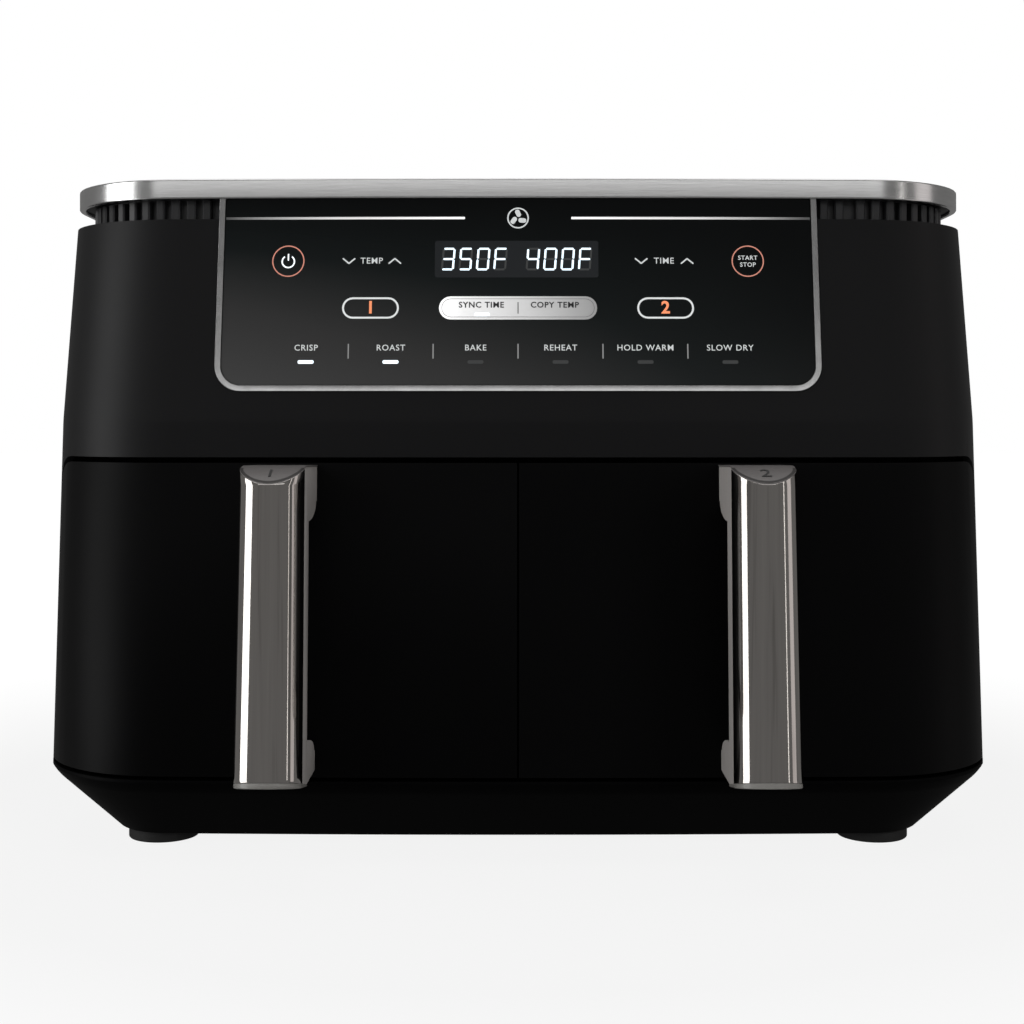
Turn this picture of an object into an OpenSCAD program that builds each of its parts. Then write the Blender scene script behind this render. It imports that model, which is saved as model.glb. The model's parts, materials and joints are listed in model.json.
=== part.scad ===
// Two-drawer air fryer with a touch panel, a steel top band and two fixed bar handles.
// Millimetres, +Z up. The front faces -Y. The origin lies on the floor under the middle of the whole part.

/* [Body] */
// Width of the body at its widest level, just above the base
body_w = 415; // [410:1:425]
// Distance from the lower front to the back wall
body_d = 295; // [292:1:305]
// Distance from the origin to the lower front
front_reach = 124; // [122:1:126]
// Thickness of the moulded walls
wall = 3; // [2.5:0.1:3.5]
// Radius of the two front corners in plan
front_corner_r = 60; // [50:1:64]
// Radius of the two back corners in plan
back_corner_r = 30; // [20:1:36]
// How far the front bulges forward between its corners
front_bow = 2.7; // [1.5:0.1:3.5]

/* [Levels] */
// Height of the rubber feet
foot_h = 5.5; // [5:0.1:7]
// Top of the base tray
base_top = 35.2; // [34:0.1:36]
// Height where the front starts to lean back
crease_z = 184.5; // [180:0.5:190]
// Top edge of the housing
shell_top = 270; // [268:1:272]
// Underside of the steel band
band_z = 278.7; // [278:0.1:281]
// Height of the steel band
band_h = 8.5; // [7:0.1:10]
// How much each side draws in between the base and the crease
side_draft = 3.6; // [2:0.1:4]
// How much each side draws in between the crease and the top
side_lean = 3.1; // [2.5:0.1:4]
// How far the front leans back between the base and the crease
front_draft = 3.5; // [2:0.1:4]
// How far the front leans back between the crease and the top
front_lean = 15.2; // [13:0.1:17]

/* [Base] */
// How far the underside draws in from the widest outline
base_inset = 30; // [26:1:32]
// Radius of a foot
foot_r = 15.4; // [12:0.1:17]
// Distance of a foot's centre from the middle, across
foot_x = 157.5; // [140:0.5:160]
// Distance of a foot's centre from the front or the back
foot_in = 53; // [50:1:60]

/* [Drawers] */
// Bottom edge of a drawer front
drawer_z0 = 36.8; // [36.5:0.1:37.5]
// Top edge of a drawer front
drawer_z1 = 166.7; // [165:0.1:168]
// Gap above the drawer fronts
lintel_gap = 2.3; // [1:0.1:3]
// Depth of a drawer front, round the corner of the body
drawer_front_d = 45.2; // [44:0.1:46]
// Outside width of a basket
basket_w = 170; // [150:1:174]
// Outside length of a basket
basket_l = 214; // [190:1:216]
// Height of a basket's rim above the floor
basket_top = 156; // [140:1:158]
// Thickness of the basket's sheet steel
basket_wall = 1.5; // [1:0.1:2]
// Outside radius of the basket's upright corners
basket_r = 14; // [10:1:20]
// Height of the crisper plate above the floor
plate_z = 58; // [54:1:64]

/* [Handles] */
// Distance of a handle from the middle, across
handle_x = 95.6; // [90:0.1:100]
// Width of the bright front of a handle
handle_w = 25.2; // [22:0.1:28]
// How far a handle stands out from the drawer front
handle_reach = 52; // [48:0.5:56]
// Depth of the rounded bright front
handle_crown = 12; // [8:0.5:13]
// Gap for the fingers behind a handle
finger_gap = 24; // [22:0.5:26]
// Lowest point of a handle
handle_z0 = 38.3; // [38:0.1:42]
// Highest point of a handle
handle_z1 = 165.9; // [160:0.1:166.5]

/* [Panel] */
// Half the width of the panel with its trim
panel_half = 127; // [110:1:130]
// Bottom edge of the panel's trim
panel_z0 = 196.5; // [194:0.5:200]
// Width of the trim's bar
trim_w = 2.5; // [2:0.1:4]
// Outside radius of the trim's lower corners
trim_r = 11; // [8:0.5:14]

/* [Heating] */
// Distance of a fan's axis from the middle, across
fan_x = 103; // [103:0.5:104]
// Distance of the fan axes behind the origin
fan_y = 30; // [20:1:40]
// Radius of the convection fan
fan_r = 56; // [50:1:58]
// Radius of the fan shaft
shaft_r = 3; // [2.5:0.1:4]
// Radius of the outer heater ring, to the middle of its tube
heater_r = 66; // [62:1:68]

/* [Hidden] */
$fn = 48;

// Fine steps and small distances: the thickness of a level, how far a cut runs past its solid, and clearances
sliver = 0.01;
over = 1;
far = 500;
ease = 0.1;
slide_fit = 0.05;
corner_steps = 10;
front_steps = 12;

// Finish colours
black = "#17181a";
soft_black = "#222326";
warm_grey = "#4a4745";
bright = "#b8b6b2";
steel = "#9a9c9e";
zinc = "#7d8184";
board_green = "#1f5a37";
silicone = "#4b5054";

// Places worked out from the driving dimensions
y_front = -front_reach;
y_back = body_d - front_reach;
half_w = body_w / 2;
low_lean = atan(front_draft / (crease_z - base_top));
high_lean = atan(front_lean / (shell_top - crease_z));
side_rate = side_lean / (shell_top - crease_z);
front_rate = front_lean / (shell_top - crease_z);
split_y = y_front + drawer_front_d + 0.8;
frame_t = 2.5;
frame_y = split_y + ease;
lintel_z = drawer_z1 + lintel_gap;

// The cooking chambers
liner_t = 1;
liner_x0 = 11;
liner_x1 = 2 * fan_x - liner_x0;
liner_y0 = frame_y + frame_t;
liner_y1 = y_back - 30;
liner_z0 = base_top + 3.3;
liner_z1 = liner_z0 + 160.5;
divider_t = 3;
divider_foot = 2;
sensor_at = [fan_x - 70, fan_y - 74];
sensor_r = 2;
liner_floor = liner_z0 + liner_t;
mouth_z = lintel_z - 3;
duct_w = 40;
duct_z0 = 158;
duct_h = 30;
duct_t = 1.5;

// The drawers
skin = 3;
return_t = 2.5;
seam = 0.4;
corner_round = 16;
round_from_x = half_w - 24.5;
backplate_t = 2.5;
backplate_y = split_y - 2.5;
basket_y0 = backplate_y;
basket_mid_y = basket_y0 + basket_l / 2;
basket_floor = liner_floor + 2.5;
rim_w = 2.5;
rim_t = 1.5;
runner_x = 60;
runner_w = 4;
plate_t = 1.5;
plate_gap = 2.5;
plate_size = [basket_w - 2 * (basket_wall + plate_gap), basket_l - 2 * (basket_wall + plate_gap)];
bumper_x = plate_size[0] / 2 - 12;
bumper_y = plate_size[1] / 2 - 12;
bumper_r = 6;
bumper_hole_r = 3;
air_hole_r = 5;
air_hole_pitch = 25;

// A handle's own frame stands on the drawer front and leans with it
seat_y = 1.5;
seat_gap = 0.2;
tall = 200;
core_w = handle_w - 0.8;
bar_back = -finger_gap;
crown_y = handle_crown - handle_reach;
bend_y = -32;
bend_r = 33.2;
bend_end = 40;
foot_rise = 4.5 / 28;
sleeve_rise = 6.3 / 28;
handle_low = handle_z0 - base_top;
handle_high = handle_z1 - base_top;
gap_low = handle_low + 9.9;
gap_high = handle_high - 15;
shoulder_y = 23;
shoulder_z = 7.4;
root_rise = 0.9;
sleeve_t = 1.5;
cap_t = 1.3;
sleeve_low = handle_low + 0.7;
screw_z = [handle_low + 6.6, handle_high - 8];

// The heating parts
convection_z = liner_z1 - 18;
heater_z = convection_z - 5.5;
guard_z = heater_z - 11;
motor_z = liner_z1 + 19;
motor_r = 32;
motor_h = 30;
leg_in = 50;
heater_tube = 3.25;
heater_step = 16;
leg_hole_r = heater_tube + 0.35;
heater_legs = [[0, heater_r], [14, heater_r - 1.5]];
guard_rings = [16, 34, 52, 76];
guard_bar = 2.4;
guard_t = 1.6;
hub_r = 9;
blade_t = 1.2;
blade_w = 12;
blade_tilt = 35;
bracket_t = 2;
post_r = 3.5;

// The vent neck and the top
neck_in = 10;
neck_t = 2.5;
ledge_in = 3;
band_t = 1.2;
band_half = half_w - side_draft - side_lean - 0.8;
band_front = y_front + front_draft + front_lean + 0.3;
band_back = y_back - 3;
neck_z = shell_top - 8;
cover_z = band_z + band_t;
cover_drop = 0.8;
cover_hollow = 3.2;
deck_z = shell_top - 4;
slot_z = [shell_top - 0.5, band_z - 1.5];
deck_t = 2;
slot_pitch = 10.2;
slot_w = 5.1;
slot_y0 = -50;
slot_y1 = 120;
slot_x = 127.5;

// The panel and its boards. The display's window and the boards are placed in the panel's leaning frame.
panel_fit = 0.15;
trim_proud = 0.5;
carrier_t = 2.5;
carrier_out = 5;
window_w = 90;
window_z = [233.5, 262.5];
board_w = 210;
board_t = 1.6;
board_y = 9.5;
display_size = [84, 5.9, 22];
display_at = [-42, 3.6, 53];

// The rear and the base
rear_open = [126, 70, 236];
rear_screw_at = [[-132, 64], [132, 64], [-132, 242], [132, 242]];
rear_size = [276, 190];
rear_mid = 153;
cover_t = 2.5;
louvre_pitch = 5;
louvre_h = 2.6;
spacer_x = 160;
spacer_z = 110;
spacer_h = 4.8;
gland_x = -150;
gland_z = 58;
gland_r = 9;
gland_bore_r = 3.8;
foot_plug_r = 4;
base_screw_at = [[-120, -60], [120, -60], [-120, 110], [120, 110]];
foot_at = [
    [-foot_x, y_front + foot_in], [foot_x, y_front + foot_in],
    [-foot_x, y_back - foot_in], [foot_x, y_back - foot_in]
];

// Screws: the shank, the hole for it and the head
screw_r = 2;
screw_hole_r = 2.1;
screw_head_r = 4;
rear_screw_r = 1.8;
rear_hole_r = 1.9;
basket_screw_at = [[fan_x - 60, 140], [fan_x + 60, 140], [fan_x - 60, 60], [fan_x + 60, 60]];

// The levels of the outside shape: height, half width, front, back, front corner radius, back corner radius
shell_levels = [
    [base_top + sliver, half_w, y_front, y_back, front_corner_r, back_corner_r],
    [crease_z, half_w - side_draft, y_front + front_draft, y_back, front_corner_r - 1, back_corner_r],
    [shell_top, half_w - side_draft - side_lean, y_front + front_draft + front_lean, y_back,
        front_corner_r - 3, back_corner_r]
];
past_top = 12;
tall_levels = [
    [base_top - 5, half_w, y_front, y_back, front_corner_r, back_corner_r],
    shell_levels[0],
    shell_levels[1],
    [shell_top + past_top, shell_levels[2][1] - past_top * side_rate,
        shell_levels[2][2] + past_top * front_rate, y_back, front_corner_r - 3, back_corner_r]
];
base_levels = [
    [foot_h, half_w - base_inset, y_front + base_inset, y_back - base_inset, 26, 20],
    [base_top - 4.2, half_w - 1.2, y_front + 1.2, y_back - 1.2, front_corner_r - 1, back_corner_r],
    [base_top - 1.7, half_w, y_front, y_back, front_corner_r, back_corner_r],
    [base_top, half_w, y_front, y_back, front_corner_r, back_corner_r]
];
base_floor = foot_h + 2.5;
tray_levels = [
    [base_floor, half_w - base_inset - 1.2, y_front + base_inset + 1.2, y_back - base_inset - 1.2, 25, 19],
    [base_top - 3, half_w - 4, y_front + 4, y_back - 4, front_corner_r - 4, back_corner_r - 4],
    [base_top + over, half_w - 3, y_front + 3, y_back - 3, front_corner_r - 3, back_corner_r - 3]
];

// ---- Outlines ----

// Points along an arc, both ends included
function arc(cx, cy, r, a0, a1, n = corner_steps) = [
    for (i = [0 : n]) let (a = a0 + (a1 - a0) * i / n) [cx + r * cos(a), cy + r * sin(a)]
];

// Points of the bowed front edge between its corners, without the ends
function front_edge(w, y, r) = [
    for (i = [1 : front_steps - 1]) let (t = 2 * i / front_steps - 1) [(w - r) * t, y + front_bow * t * t]
];

// Plan outline with a bowed front and round corners
function plan(w, y0, y1, r0, r1) = concat(
    front_edge(w, y0, r0),
    arc(w - r0, y0 + front_bow + r0, r0, -90, 0),
    arc(w - r1, y1 - r1, r1, 0, 90),
    arc(r1 - w, y1 - r1, r1, 90, 180),
    arc(r0 - w, y0 + front_bow + r0, r0, 180, 270)
);

// Half an ellipse that bulges towards -Y, both ends included
function crown(rx, ry, n = 24) = [
    for (i = [0 : n]) let (a = 180 + 180 * i / n) [rx * cos(a), crown_y + ry * sin(a)]
];

// Rectangle with round corners, centred
module rounded(w, l, r) {
    square([w - 2 * r, l], center = true);
    square([w, l - 2 * r], center = true);
    for (x = [-1, 1], y = [-1, 1]) translate([x * (w / 2 - r), y * (l / 2 - r)]) circle(r);
}

// Front view of the panel: two upright sides, round lower corners and an open top
module panel_outline(half, z0, r, z1) {
    translate([-half, z0 + r]) square([2 * half, z1 - z0 - r]);
    translate([r - half, z0]) square([2 * (half - r), r + over]);
    for (x = [-1, 1]) translate([x * (half - r), z0 + r]) circle(r);
}

// ---- Solids that several parts share ----

module level(l, inset) {
    translate([0, 0, l[0] - sliver / 2])
        linear_extrude(sliver)
            polygon(plan(l[1] - inset, l[2] + inset, l[3] - inset, l[4] - inset, l[5] - inset));
}

module loft(levels, inset = 0) {
    hull() for (l = levels) level(l, inset);
}

// An outline in front view, cut through the front half of the body
module through_front(depth = 80) {
    translate([0, y_front + depth - 10, 0]) rotate([90, 0, 0]) linear_extrude(depth) children();
}

module box(low, high) {
    translate(low) cube(high - low);
}

// A left part is the mirror image of the right one
module left() {
    mirror([1, 0, 0]) children();
}

// The space of one drawer front, inset by the thickness t, with its round upper corner at the side
module drawer_space(t, x0) {
    z0 = drawer_z0 + t;
    z1 = drawer_z1 - t;
    y1 = t > 0 ? split_y : y_front + drawer_front_d;
    r = corner_round - t;
    yc = y_front + drawer_front_d - corner_round;
    box([x0, y_front - over, z0], [round_from_x - t, y1, z1]);
    box([x0, y_front - over, z0], [far, yc, z1]);
    box([x0, yc - over, z0], [far, y1, z1 - r]);
    translate([x0, yc, z1 - r]) rotate([0, 90, 0]) cylinder(r = r, h = far - x0);
}

// Puts its children in a handle's own frame
module on_drawer() {
    translate([handle_x, y_front, base_top]) rotate([-low_lean, 0, 0]) children();
}

// Puts its children in the frame of the leaning panel
module on_panel() {
    translate([0, y_front + front_draft, crease_z]) rotate([-high_lean, 0, 0]) children();
}

// Holes that run from front to back at the places (x, z)
module holes_along_y(places, y, r, depth) {
    for (p = places) translate([p[0], y, p[1]]) rotate([-90, 0, 0]) cylinder(r = r, h = depth);
}

module ring(r, w, h) {
    difference() {
        cylinder(r = r + w / 2, h = h);
        translate([0, 0, -over]) cylinder(r = r - w / 2, h = h + 2 * over);
    }
}

// ---- Housing ----

module main_housing() {
    color(black) difference() {
        loft(shell_levels);
        loft(tall_levels, wall);
        // the mouth for both drawers, with round upper corners at the sides
        box([-far, -far, 0], [far, split_y - corner_round, lintel_z]);
        box([-far, -far, 0], [far, split_y, lintel_z - corner_round]);
        translate([-far, split_y - corner_round, lintel_z - corner_round])
            rotate([0, 90, 0]) cylinder(r = corner_round, h = 2 * far);
        through_front()
            panel_outline(panel_half + panel_fit, panel_z0 - panel_fit, trim_r, shell_top + 2 * over);
        // the opening under the rear cover, the cover's screw holes and the hole for the cable gland
        box([-rear_open[0], y_back - 10, rear_open[1]], [rear_open[0], y_back + 10, rear_open[2]]);
        holes_along_y(rear_screw_at, y_back - 2 * wall, rear_hole_r, 3 * wall);
        holes_along_y([[gland_x, gland_z]], y_back - 2 * wall, gland_r + ease, 3 * wall);
    }
}

module base_tray() {
    color(soft_black) difference() {
        union() {
            difference() {
                loft(base_levels);
                loft(tray_levels);
            }
            // the deck under the drawer fronts
            intersection() {
                loft(base_levels);
                box([-far, -far, base_top - 2], [far, frame_y + frame_t, base_top]);
            }
            for (p = base_screw_at) translate([p[0], p[1], base_floor - over])
                cylinder(r = 3 * screw_r, h = liner_z0 - base_floor + over);
        }
        for (p = base_screw_at) translate([p[0], p[1], 0]) {
            cylinder(r = screw_hole_r, h = liner_z0 + over);
            cylinder(r = screw_head_r + 0.5, h = base_floor - 0.2);
        }
        for (p = foot_at) translate([p[0], p[1], 0]) cylinder(r = foot_plug_r + ease, h = base_floor + over);
    }
}

// The frame behind both drawer fronts, with the ledge above them
module drawer_frame() {
    color(soft_black) difference() {
        intersection() {
            loft(tall_levels, wall + 2 * ease);
            union() {
                box([-far, frame_y, base_top], [far, frame_y + frame_t, lintel_z + frame_t]);
                box([-far, -far, lintel_z + ease], [far, frame_y + frame_t, lintel_z + frame_t]);
            }
        }
        for (s = [-1, 1]) translate([s * fan_x, frame_y, (liner_floor + mouth_z) / 2])
            cube([liner_x1 - liner_x0 - 2 * liner_t, 3 * frame_t, mouth_z - liner_floor], center = true);
    }
}

// The upright between the two cooking chambers
module centre_divider() {
    flange = liner_x0 - 2 * ease;
    color(steel) {
        box([-divider_t / 2, liner_y0, base_top], [divider_t / 2, liner_y1, liner_z1]);
        box([-flange, liner_y0, base_top], [flange, liner_y0 + divider_foot, liner_z1]);
        box([-flange, liner_y1 - divider_foot, base_top], [flange, liner_y1, liner_z1]);
    }
}

module neck_plan(inset) {
    polygon(plan(band_half - inset, band_front + inset, band_back - inset,
        front_corner_r - 4 - inset, back_corner_r - inset));
}

// The set-back neck under the band, with upright vent slots all round and a ledge inside the housing
module neck_grille() {
    color(soft_black) difference() {
        union() {
            translate([0, 0, neck_z]) linear_extrude(cover_z - neck_z) difference() {
                neck_plan(neck_in);
                neck_plan(neck_in + neck_t);
            }
            translate([0, 0, deck_z]) linear_extrude(deck_t) difference() {
                neck_plan(ledge_in);
                neck_plan(neck_in + over);
            }
        }
        // room for the panel in the ledge, and the slots
        box([-panel_half - 6, -far, deck_z - over],
            [panel_half + 6, band_front + neck_in - 0.4, deck_z + deck_t + over]);
        for (y = [slot_y0 : slot_pitch : slot_y1])
            box([-far, y, slot_z[0]], [far, y + slot_w, slot_z[1]]);
        for (x = [-slot_x - slot_w / 2 : slot_pitch : slot_x])
            box([x, 0, slot_z[0]], [x + slot_w, far, slot_z[1]]);
    }
}

// The folded steel band round the top
module top_band() {
    color(bright) translate([0, 0, band_z]) {
        linear_extrude(band_h) difference() {
            neck_plan(0);
            neck_plan(band_t);
        }
        // the hem folded in under the band
        linear_extrude(band_t) difference() {
            neck_plan(band_t / 2);
            neck_plan(4);
        }
    }
}

module top_cover() {
    color(soft_black) difference() {
        translate([0, 0, cover_z])
            linear_extrude(band_z + band_h - cover_drop - cover_z) neck_plan(band_t + ease);
        translate([0, 0, cover_z - over]) linear_extrude(over + cover_hollow) neck_plan(2 * neck_in);
    }
}

// ---- Control panel ----

module panel_trim() {
    color(bright) intersection() {
        difference() {
            loft(tall_levels, -trim_proud);
            loft(tall_levels, wall + trim_proud);
        }
        through_front() difference() {
            panel_outline(panel_half, panel_z0, trim_r, band_z);
            panel_outline(panel_half - trim_w, panel_z0 + trim_w, trim_r - trim_w, band_z + over);
        }
    }
}

module panel_glass() {
    inset = trim_w + slide_fit;
    color(black) intersection() {
        difference() {
            loft(tall_levels);
            loft(tall_levels, wall);
        }
        through_front() panel_outline(panel_half - inset, panel_z0 + inset, trim_r - inset, band_z);
    }
}

module panel_carrier() {
    color(warm_grey) intersection() {
        difference() {
            loft(tall_levels, wall + trim_proud + ease);
            loft(tall_levels, wall + trim_proud + ease + carrier_t);
        }
        through_front() difference() {
            panel_outline(panel_half + carrier_out, panel_z0 - carrier_out, trim_r, neck_z + 2);
            translate([-window_w / 2, window_z[0]]) square([window_w, window_z[1] - window_z[0]]);
        }
    }
}

module control_board() {
    color(board_green) on_panel() {
        back = board_y + board_t;
        translate([-board_w / 2, board_y, 18]) cube([board_w, board_t, 60]);
        // two chips and four capacitors
        translate([-30, back, 26]) cube([18, 2, 18]);
        translate([30, back, 30]) cube([10, 2.5, 24]);
        holes_along_y([for (x = [-85, -60, 55, 80]) [x, 34]], back, 4, 9);
    }
}

module display_module() {
    color(black) on_panel() translate(display_at) cube(display_size);
}

module power_board() {
    z = liner_z1 + 6;
    top = z + board_t;
    color(board_green) {
        translate([-42, 20, z]) cube([84, 115, board_t]);
        for (x = [-36, 36], y = [28, 127]) translate([x, y, liner_z1]) cylinder(r = 3, h = 6);
    }
    // a transformer, a relay, two capacitors and a heat sink
    color(black) {
        translate([-34, 40, top]) cube([28, 34, 24]);
        translate([6, 44, top]) cube([20, 16, 16]);
        for (y = [80, 96]) translate([-20, y, top]) cylinder(r = 6, h = 20);
        translate([4, 84, top]) cube([26, 12, 14]);
    }
}

// ---- Rear ----

module rear_cover() {
    color(soft_black) difference() {
        translate([0, y_back + cover_t, rear_mid]) rotate([90, 0, 0])
            linear_extrude(cover_t) rounded(rear_size[0], rear_size[1], 10);
        // louvres over both exhaust ducts and, above them, over the electronics
        for (s = [-1, 1], z = [duct_z0 + 3 : louvre_pitch : duct_z0 + duct_h - 4])
            translate([s * fan_x - duct_w / 2 + 4, y_back - over, z])
                cube([duct_w - 8, cover_t + 2 * over, louvre_h]);
        for (z = [206 : louvre_pitch : 228])
            translate([-40, y_back - over, z]) cube([80, cover_t + 2 * over, louvre_h]);
        holes_along_y(rear_screw_at, y_back - over, rear_hole_r, cover_t + 2 * over);
    }
}

module rear_screws() {
    color(zinc) for (p = rear_screw_at) translate([p[0], y_back + cover_t, p[1]]) {
        rotate([-90, 0, 0]) cylinder(r1 = 2 * rear_screw_r, r2 = 1.5 * rear_screw_r, h = 1.2);
        rotate([90, 0, 0]) cylinder(r = rear_screw_r, h = 12);
    }
}

module rear_spacers() {
    color(soft_black) for (x = [-spacer_x, spacer_x]) translate([x, y_back + spacer_h, spacer_z])
        rotate([90, 0, 0]) linear_extrude(spacer_h) rounded(18, 60, 6);
}

// The gland that the mains cord would come out of
module cable_gland() {
    color(soft_black) translate([gland_x, y_back - 8, gland_z]) rotate([-90, 0, 0]) difference() {
        union() {
            cylinder(r = gland_r, h = 11);
            translate([0, 0, 8]) cylinder(r = gland_r + 3, h = 3);
        }
        translate([0, 0, -over]) cylinder(r = gland_bore_r, h = 20);
    }
}

module base_screws() {
    color(zinc) for (p = base_screw_at) translate([p[0], p[1], base_floor - 2]) {
        cylinder(r = screw_head_r, h = 1.8);
        cylinder(r = screw_r, h = 24);
    }
}

module foot(p) {
    color(soft_black) translate([p[0], p[1], 0]) {
        cylinder(r = foot_r, h = foot_h - sliver);
        cylinder(r = foot_plug_r, h = foot_h + 5);
    }
}

// ---- Cooking chamber, right-hand side ----

module cooking_chamber() {
    color(steel) difference() {
        box([liner_x0, liner_y0, liner_z0], [liner_x1, liner_y1, liner_z1]);
        box([liner_x0 + liner_t, liner_y0 + liner_t, liner_floor],
            [liner_x1 - liner_t, liner_y1 - liner_t, liner_z1 - liner_t]);
        box([liner_x0 + liner_t, liner_y0 - over, liner_floor],
            [liner_x1 - liner_t, liner_y0 + 2 * over, mouth_z]);
        box([fan_x - duct_w / 2 + duct_t, liner_y1 - 2 * over, duct_z0 + duct_t],
            [fan_x + duct_w / 2 - duct_t, liner_y1 + over, duct_z0 + duct_h - duct_t]);
        translate([fan_x, fan_y, liner_z1 - 3]) {
            cylinder(r = shaft_r + 3, h = 6);
            for (p = heater_legs) translate(p) cylinder(r = leg_hole_r, h = 6);
        }
        translate([sensor_at[0], sensor_at[1], liner_z1 - 3]) cylinder(r = sensor_r + 0.3, h = 6);
    }
}

// Two rings of tube, joined by a short link, on two legs that pass through the chamber's top
module heater_coil() {
    color(steel) translate([fan_x, fan_y, heater_z]) {
        for (r = [heater_r, heater_r - heater_step]) rotate_extrude() translate([r, 0]) circle(heater_tube);
        translate([0, heater_r - heater_step, 0])
            rotate([-90, 0, 0]) cylinder(r = heater_tube - 2 * ease, h = heater_step);
        for (p = heater_legs) translate(p) cylinder(r = heater_tube - ease, h = liner_z1 - heater_z + 8);
    }
}

module fan_guard() {
    color(steel) translate([fan_x, fan_y, guard_z]) {
        outer = guard_rings[3];
        for (r = guard_rings) ring(r, guard_bar, guard_t);
        for (a = [0 : 60 : 120]) rotate(a)
            translate([-outer, -guard_bar / 2, 0]) cube([2 * outer, guard_bar, guard_t]);
        for (a = [45 : 90 : 315]) rotate(a)
            translate([outer, 0, 0]) cylinder(r = 1.8, h = liner_z1 - liner_t - guard_z);
    }
}

module thermal_sensors() {
    color(zinc) for (s = [0, 1]) mirror([s, 0, 0]) translate([sensor_at[0], sensor_at[1], liner_z1]) {
        translate([-7, -7, 0]) cube([14, 14, 6]);
        translate([0, 0, -26]) cylinder(r = sensor_r, h = 27);
    }
}

module exhaust_ducts() {
    color(steel) for (s = [0, 1]) mirror([s, 0, 0]) difference() {
        box([fan_x - duct_w / 2, liner_y1, duct_z0], [fan_x + duct_w / 2, y_back, duct_z0 + duct_h]);
        box([fan_x - duct_w / 2 + duct_t, liner_y1 - over, duct_z0 + duct_t],
            [fan_x + duct_w / 2 - duct_t, y_back + over, duct_z0 + duct_h - duct_t]);
    }
}

// Sensors that tell when each drawer is home
module drawer_sensors() {
    color(black) for (s = [0, 1]) mirror([s, 0, 0]) box([1.5, -55, 100], [9, -35, 116]);
}

module motor() {
    color(zinc) translate([fan_x, fan_y, motor_z]) difference() {
        union() {
            cylinder(r = motor_r, h = motor_h);
            translate([0, 0, -4]) cylinder(r = hub_r, h = motor_h + 8);
        }
        translate([0, 0, -10]) cylinder(r = shaft_r + slide_fit, h = motor_h + 20);
    }
}

module motor_brackets() {
    color(steel) for (s = [0, 1]) mirror([s, 0, 0]) translate([fan_x, fan_y, 0]) {
        translate([0, 0, motor_z - bracket_t]) linear_extrude(bracket_t) difference() {
            rounded(2 * leg_in + 10, 2 * leg_in + 10, 5);
            circle(hub_r + 0.2);
        }
        for (x = [-leg_in, leg_in], y = [-leg_in, leg_in])
            translate([x, y, liner_z1]) cylinder(r = post_r, h = motor_z - bracket_t / 2 - liner_z1);
    }
}

// ---- Fans, which turn with their shaft ----

module fan_shaft() {
    low = convection_z - 3;
    high = motor_z + motor_h + 4;
    color(zinc) translate([fan_x, fan_y, low]) cylinder(r = shaft_r, h = high - low);
}

module convection_fan() {
    color(steel) translate([fan_x, fan_y, convection_z]) difference() {
        union() {
            cylinder(r = hub_r, h = 13);
            translate([0, 0, 7]) cylinder(r = fan_r, h = blade_t);
            for (a = [0 : 36 : 324]) rotate(a)
                translate([hub_r - over, -blade_t / 2, 0]) cube([fan_r - hub_r, blade_t, 7.5]);
        }
        translate([0, 0, -over]) cylinder(r = shaft_r + sliver, h = 16);
    }
}

module cooling_fan() {
    color(soft_black) translate([fan_x, fan_y, liner_z1 + 3]) difference() {
        union() {
            cylinder(r = hub_r, h = 10);
            for (a = [0 : 45 : 315]) rotate(a) translate([hub_r - over, 0, 5]) rotate([blade_tilt, 0, 0])
                translate([0, -blade_w / 2, -blade_t / 2]) cube([34, blade_w, blade_t]);
        }
        translate([0, 0, -over]) cylinder(r = shaft_r + sliver, h = 16);
    }
}

// ---- Drawer, right-hand side ----

// Pockets and screw holes for the two feet of the handle
module handle_seats() {
    half = core_w / 2 + seat_gap;
    on_drawer() {
        box([-half, -20, gap_high - seat_gap], [half, seat_y, handle_high + seat_gap]);
        box([-half, -20, sleeve_low - seat_gap], [half, seat_y, gap_low + seat_gap]);
        holes_along_y([for (z = screw_z) [0, z]], -10, screw_hole_r, 20);
    }
}

module drawer_front() {
    color(black) difference() {
        intersection() {
            loft(tall_levels);
            drawer_space(0, seam);
        }
        intersection() {
            loft(tall_levels, skin);
            drawer_space(return_t, seam + return_t);
        }
        handle_seats();
    }
}

module drawer_backplate() {
    color(soft_black) difference() {
        intersection() {
            loft(tall_levels, skin + ease);
            drawer_space(return_t + ease, seam + return_t + ease);
            box([0, backplate_y - backplate_t, 0], [far, backplate_y, far]);
        }
        holes_along_y(basket_screw_at, backplate_y - 5, screw_hole_r, 10);
    }
}

// A pan of sheet steel with a turned-out rim and two runners under its floor
module basket() {
    color(warm_grey) difference() {
        union() {
            translate([fan_x, basket_mid_y, basket_floor])
                linear_extrude(basket_top - basket_floor) rounded(basket_w, basket_l, basket_r);
            translate([fan_x, basket_mid_y + rim_w / 2, basket_top - rim_t])
                linear_extrude(rim_t) rounded(basket_w + 2 * rim_w, basket_l + rim_w, basket_r);
            for (x = [-runner_x, runner_x])
                translate([fan_x + x - runner_w / 2, basket_y0 + 20, liner_floor + 0.3])
                    cube([runner_w, basket_l - 40, basket_floor - liner_floor]);
        }
        translate([fan_x, basket_mid_y, basket_floor + basket_wall]) linear_extrude(basket_top)
            rounded(basket_w - 2 * basket_wall, basket_l - 2 * basket_wall, basket_r - basket_wall);
        holes_along_y(basket_screw_at, backplate_y - 5, screw_hole_r, 10);
    }
}

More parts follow.
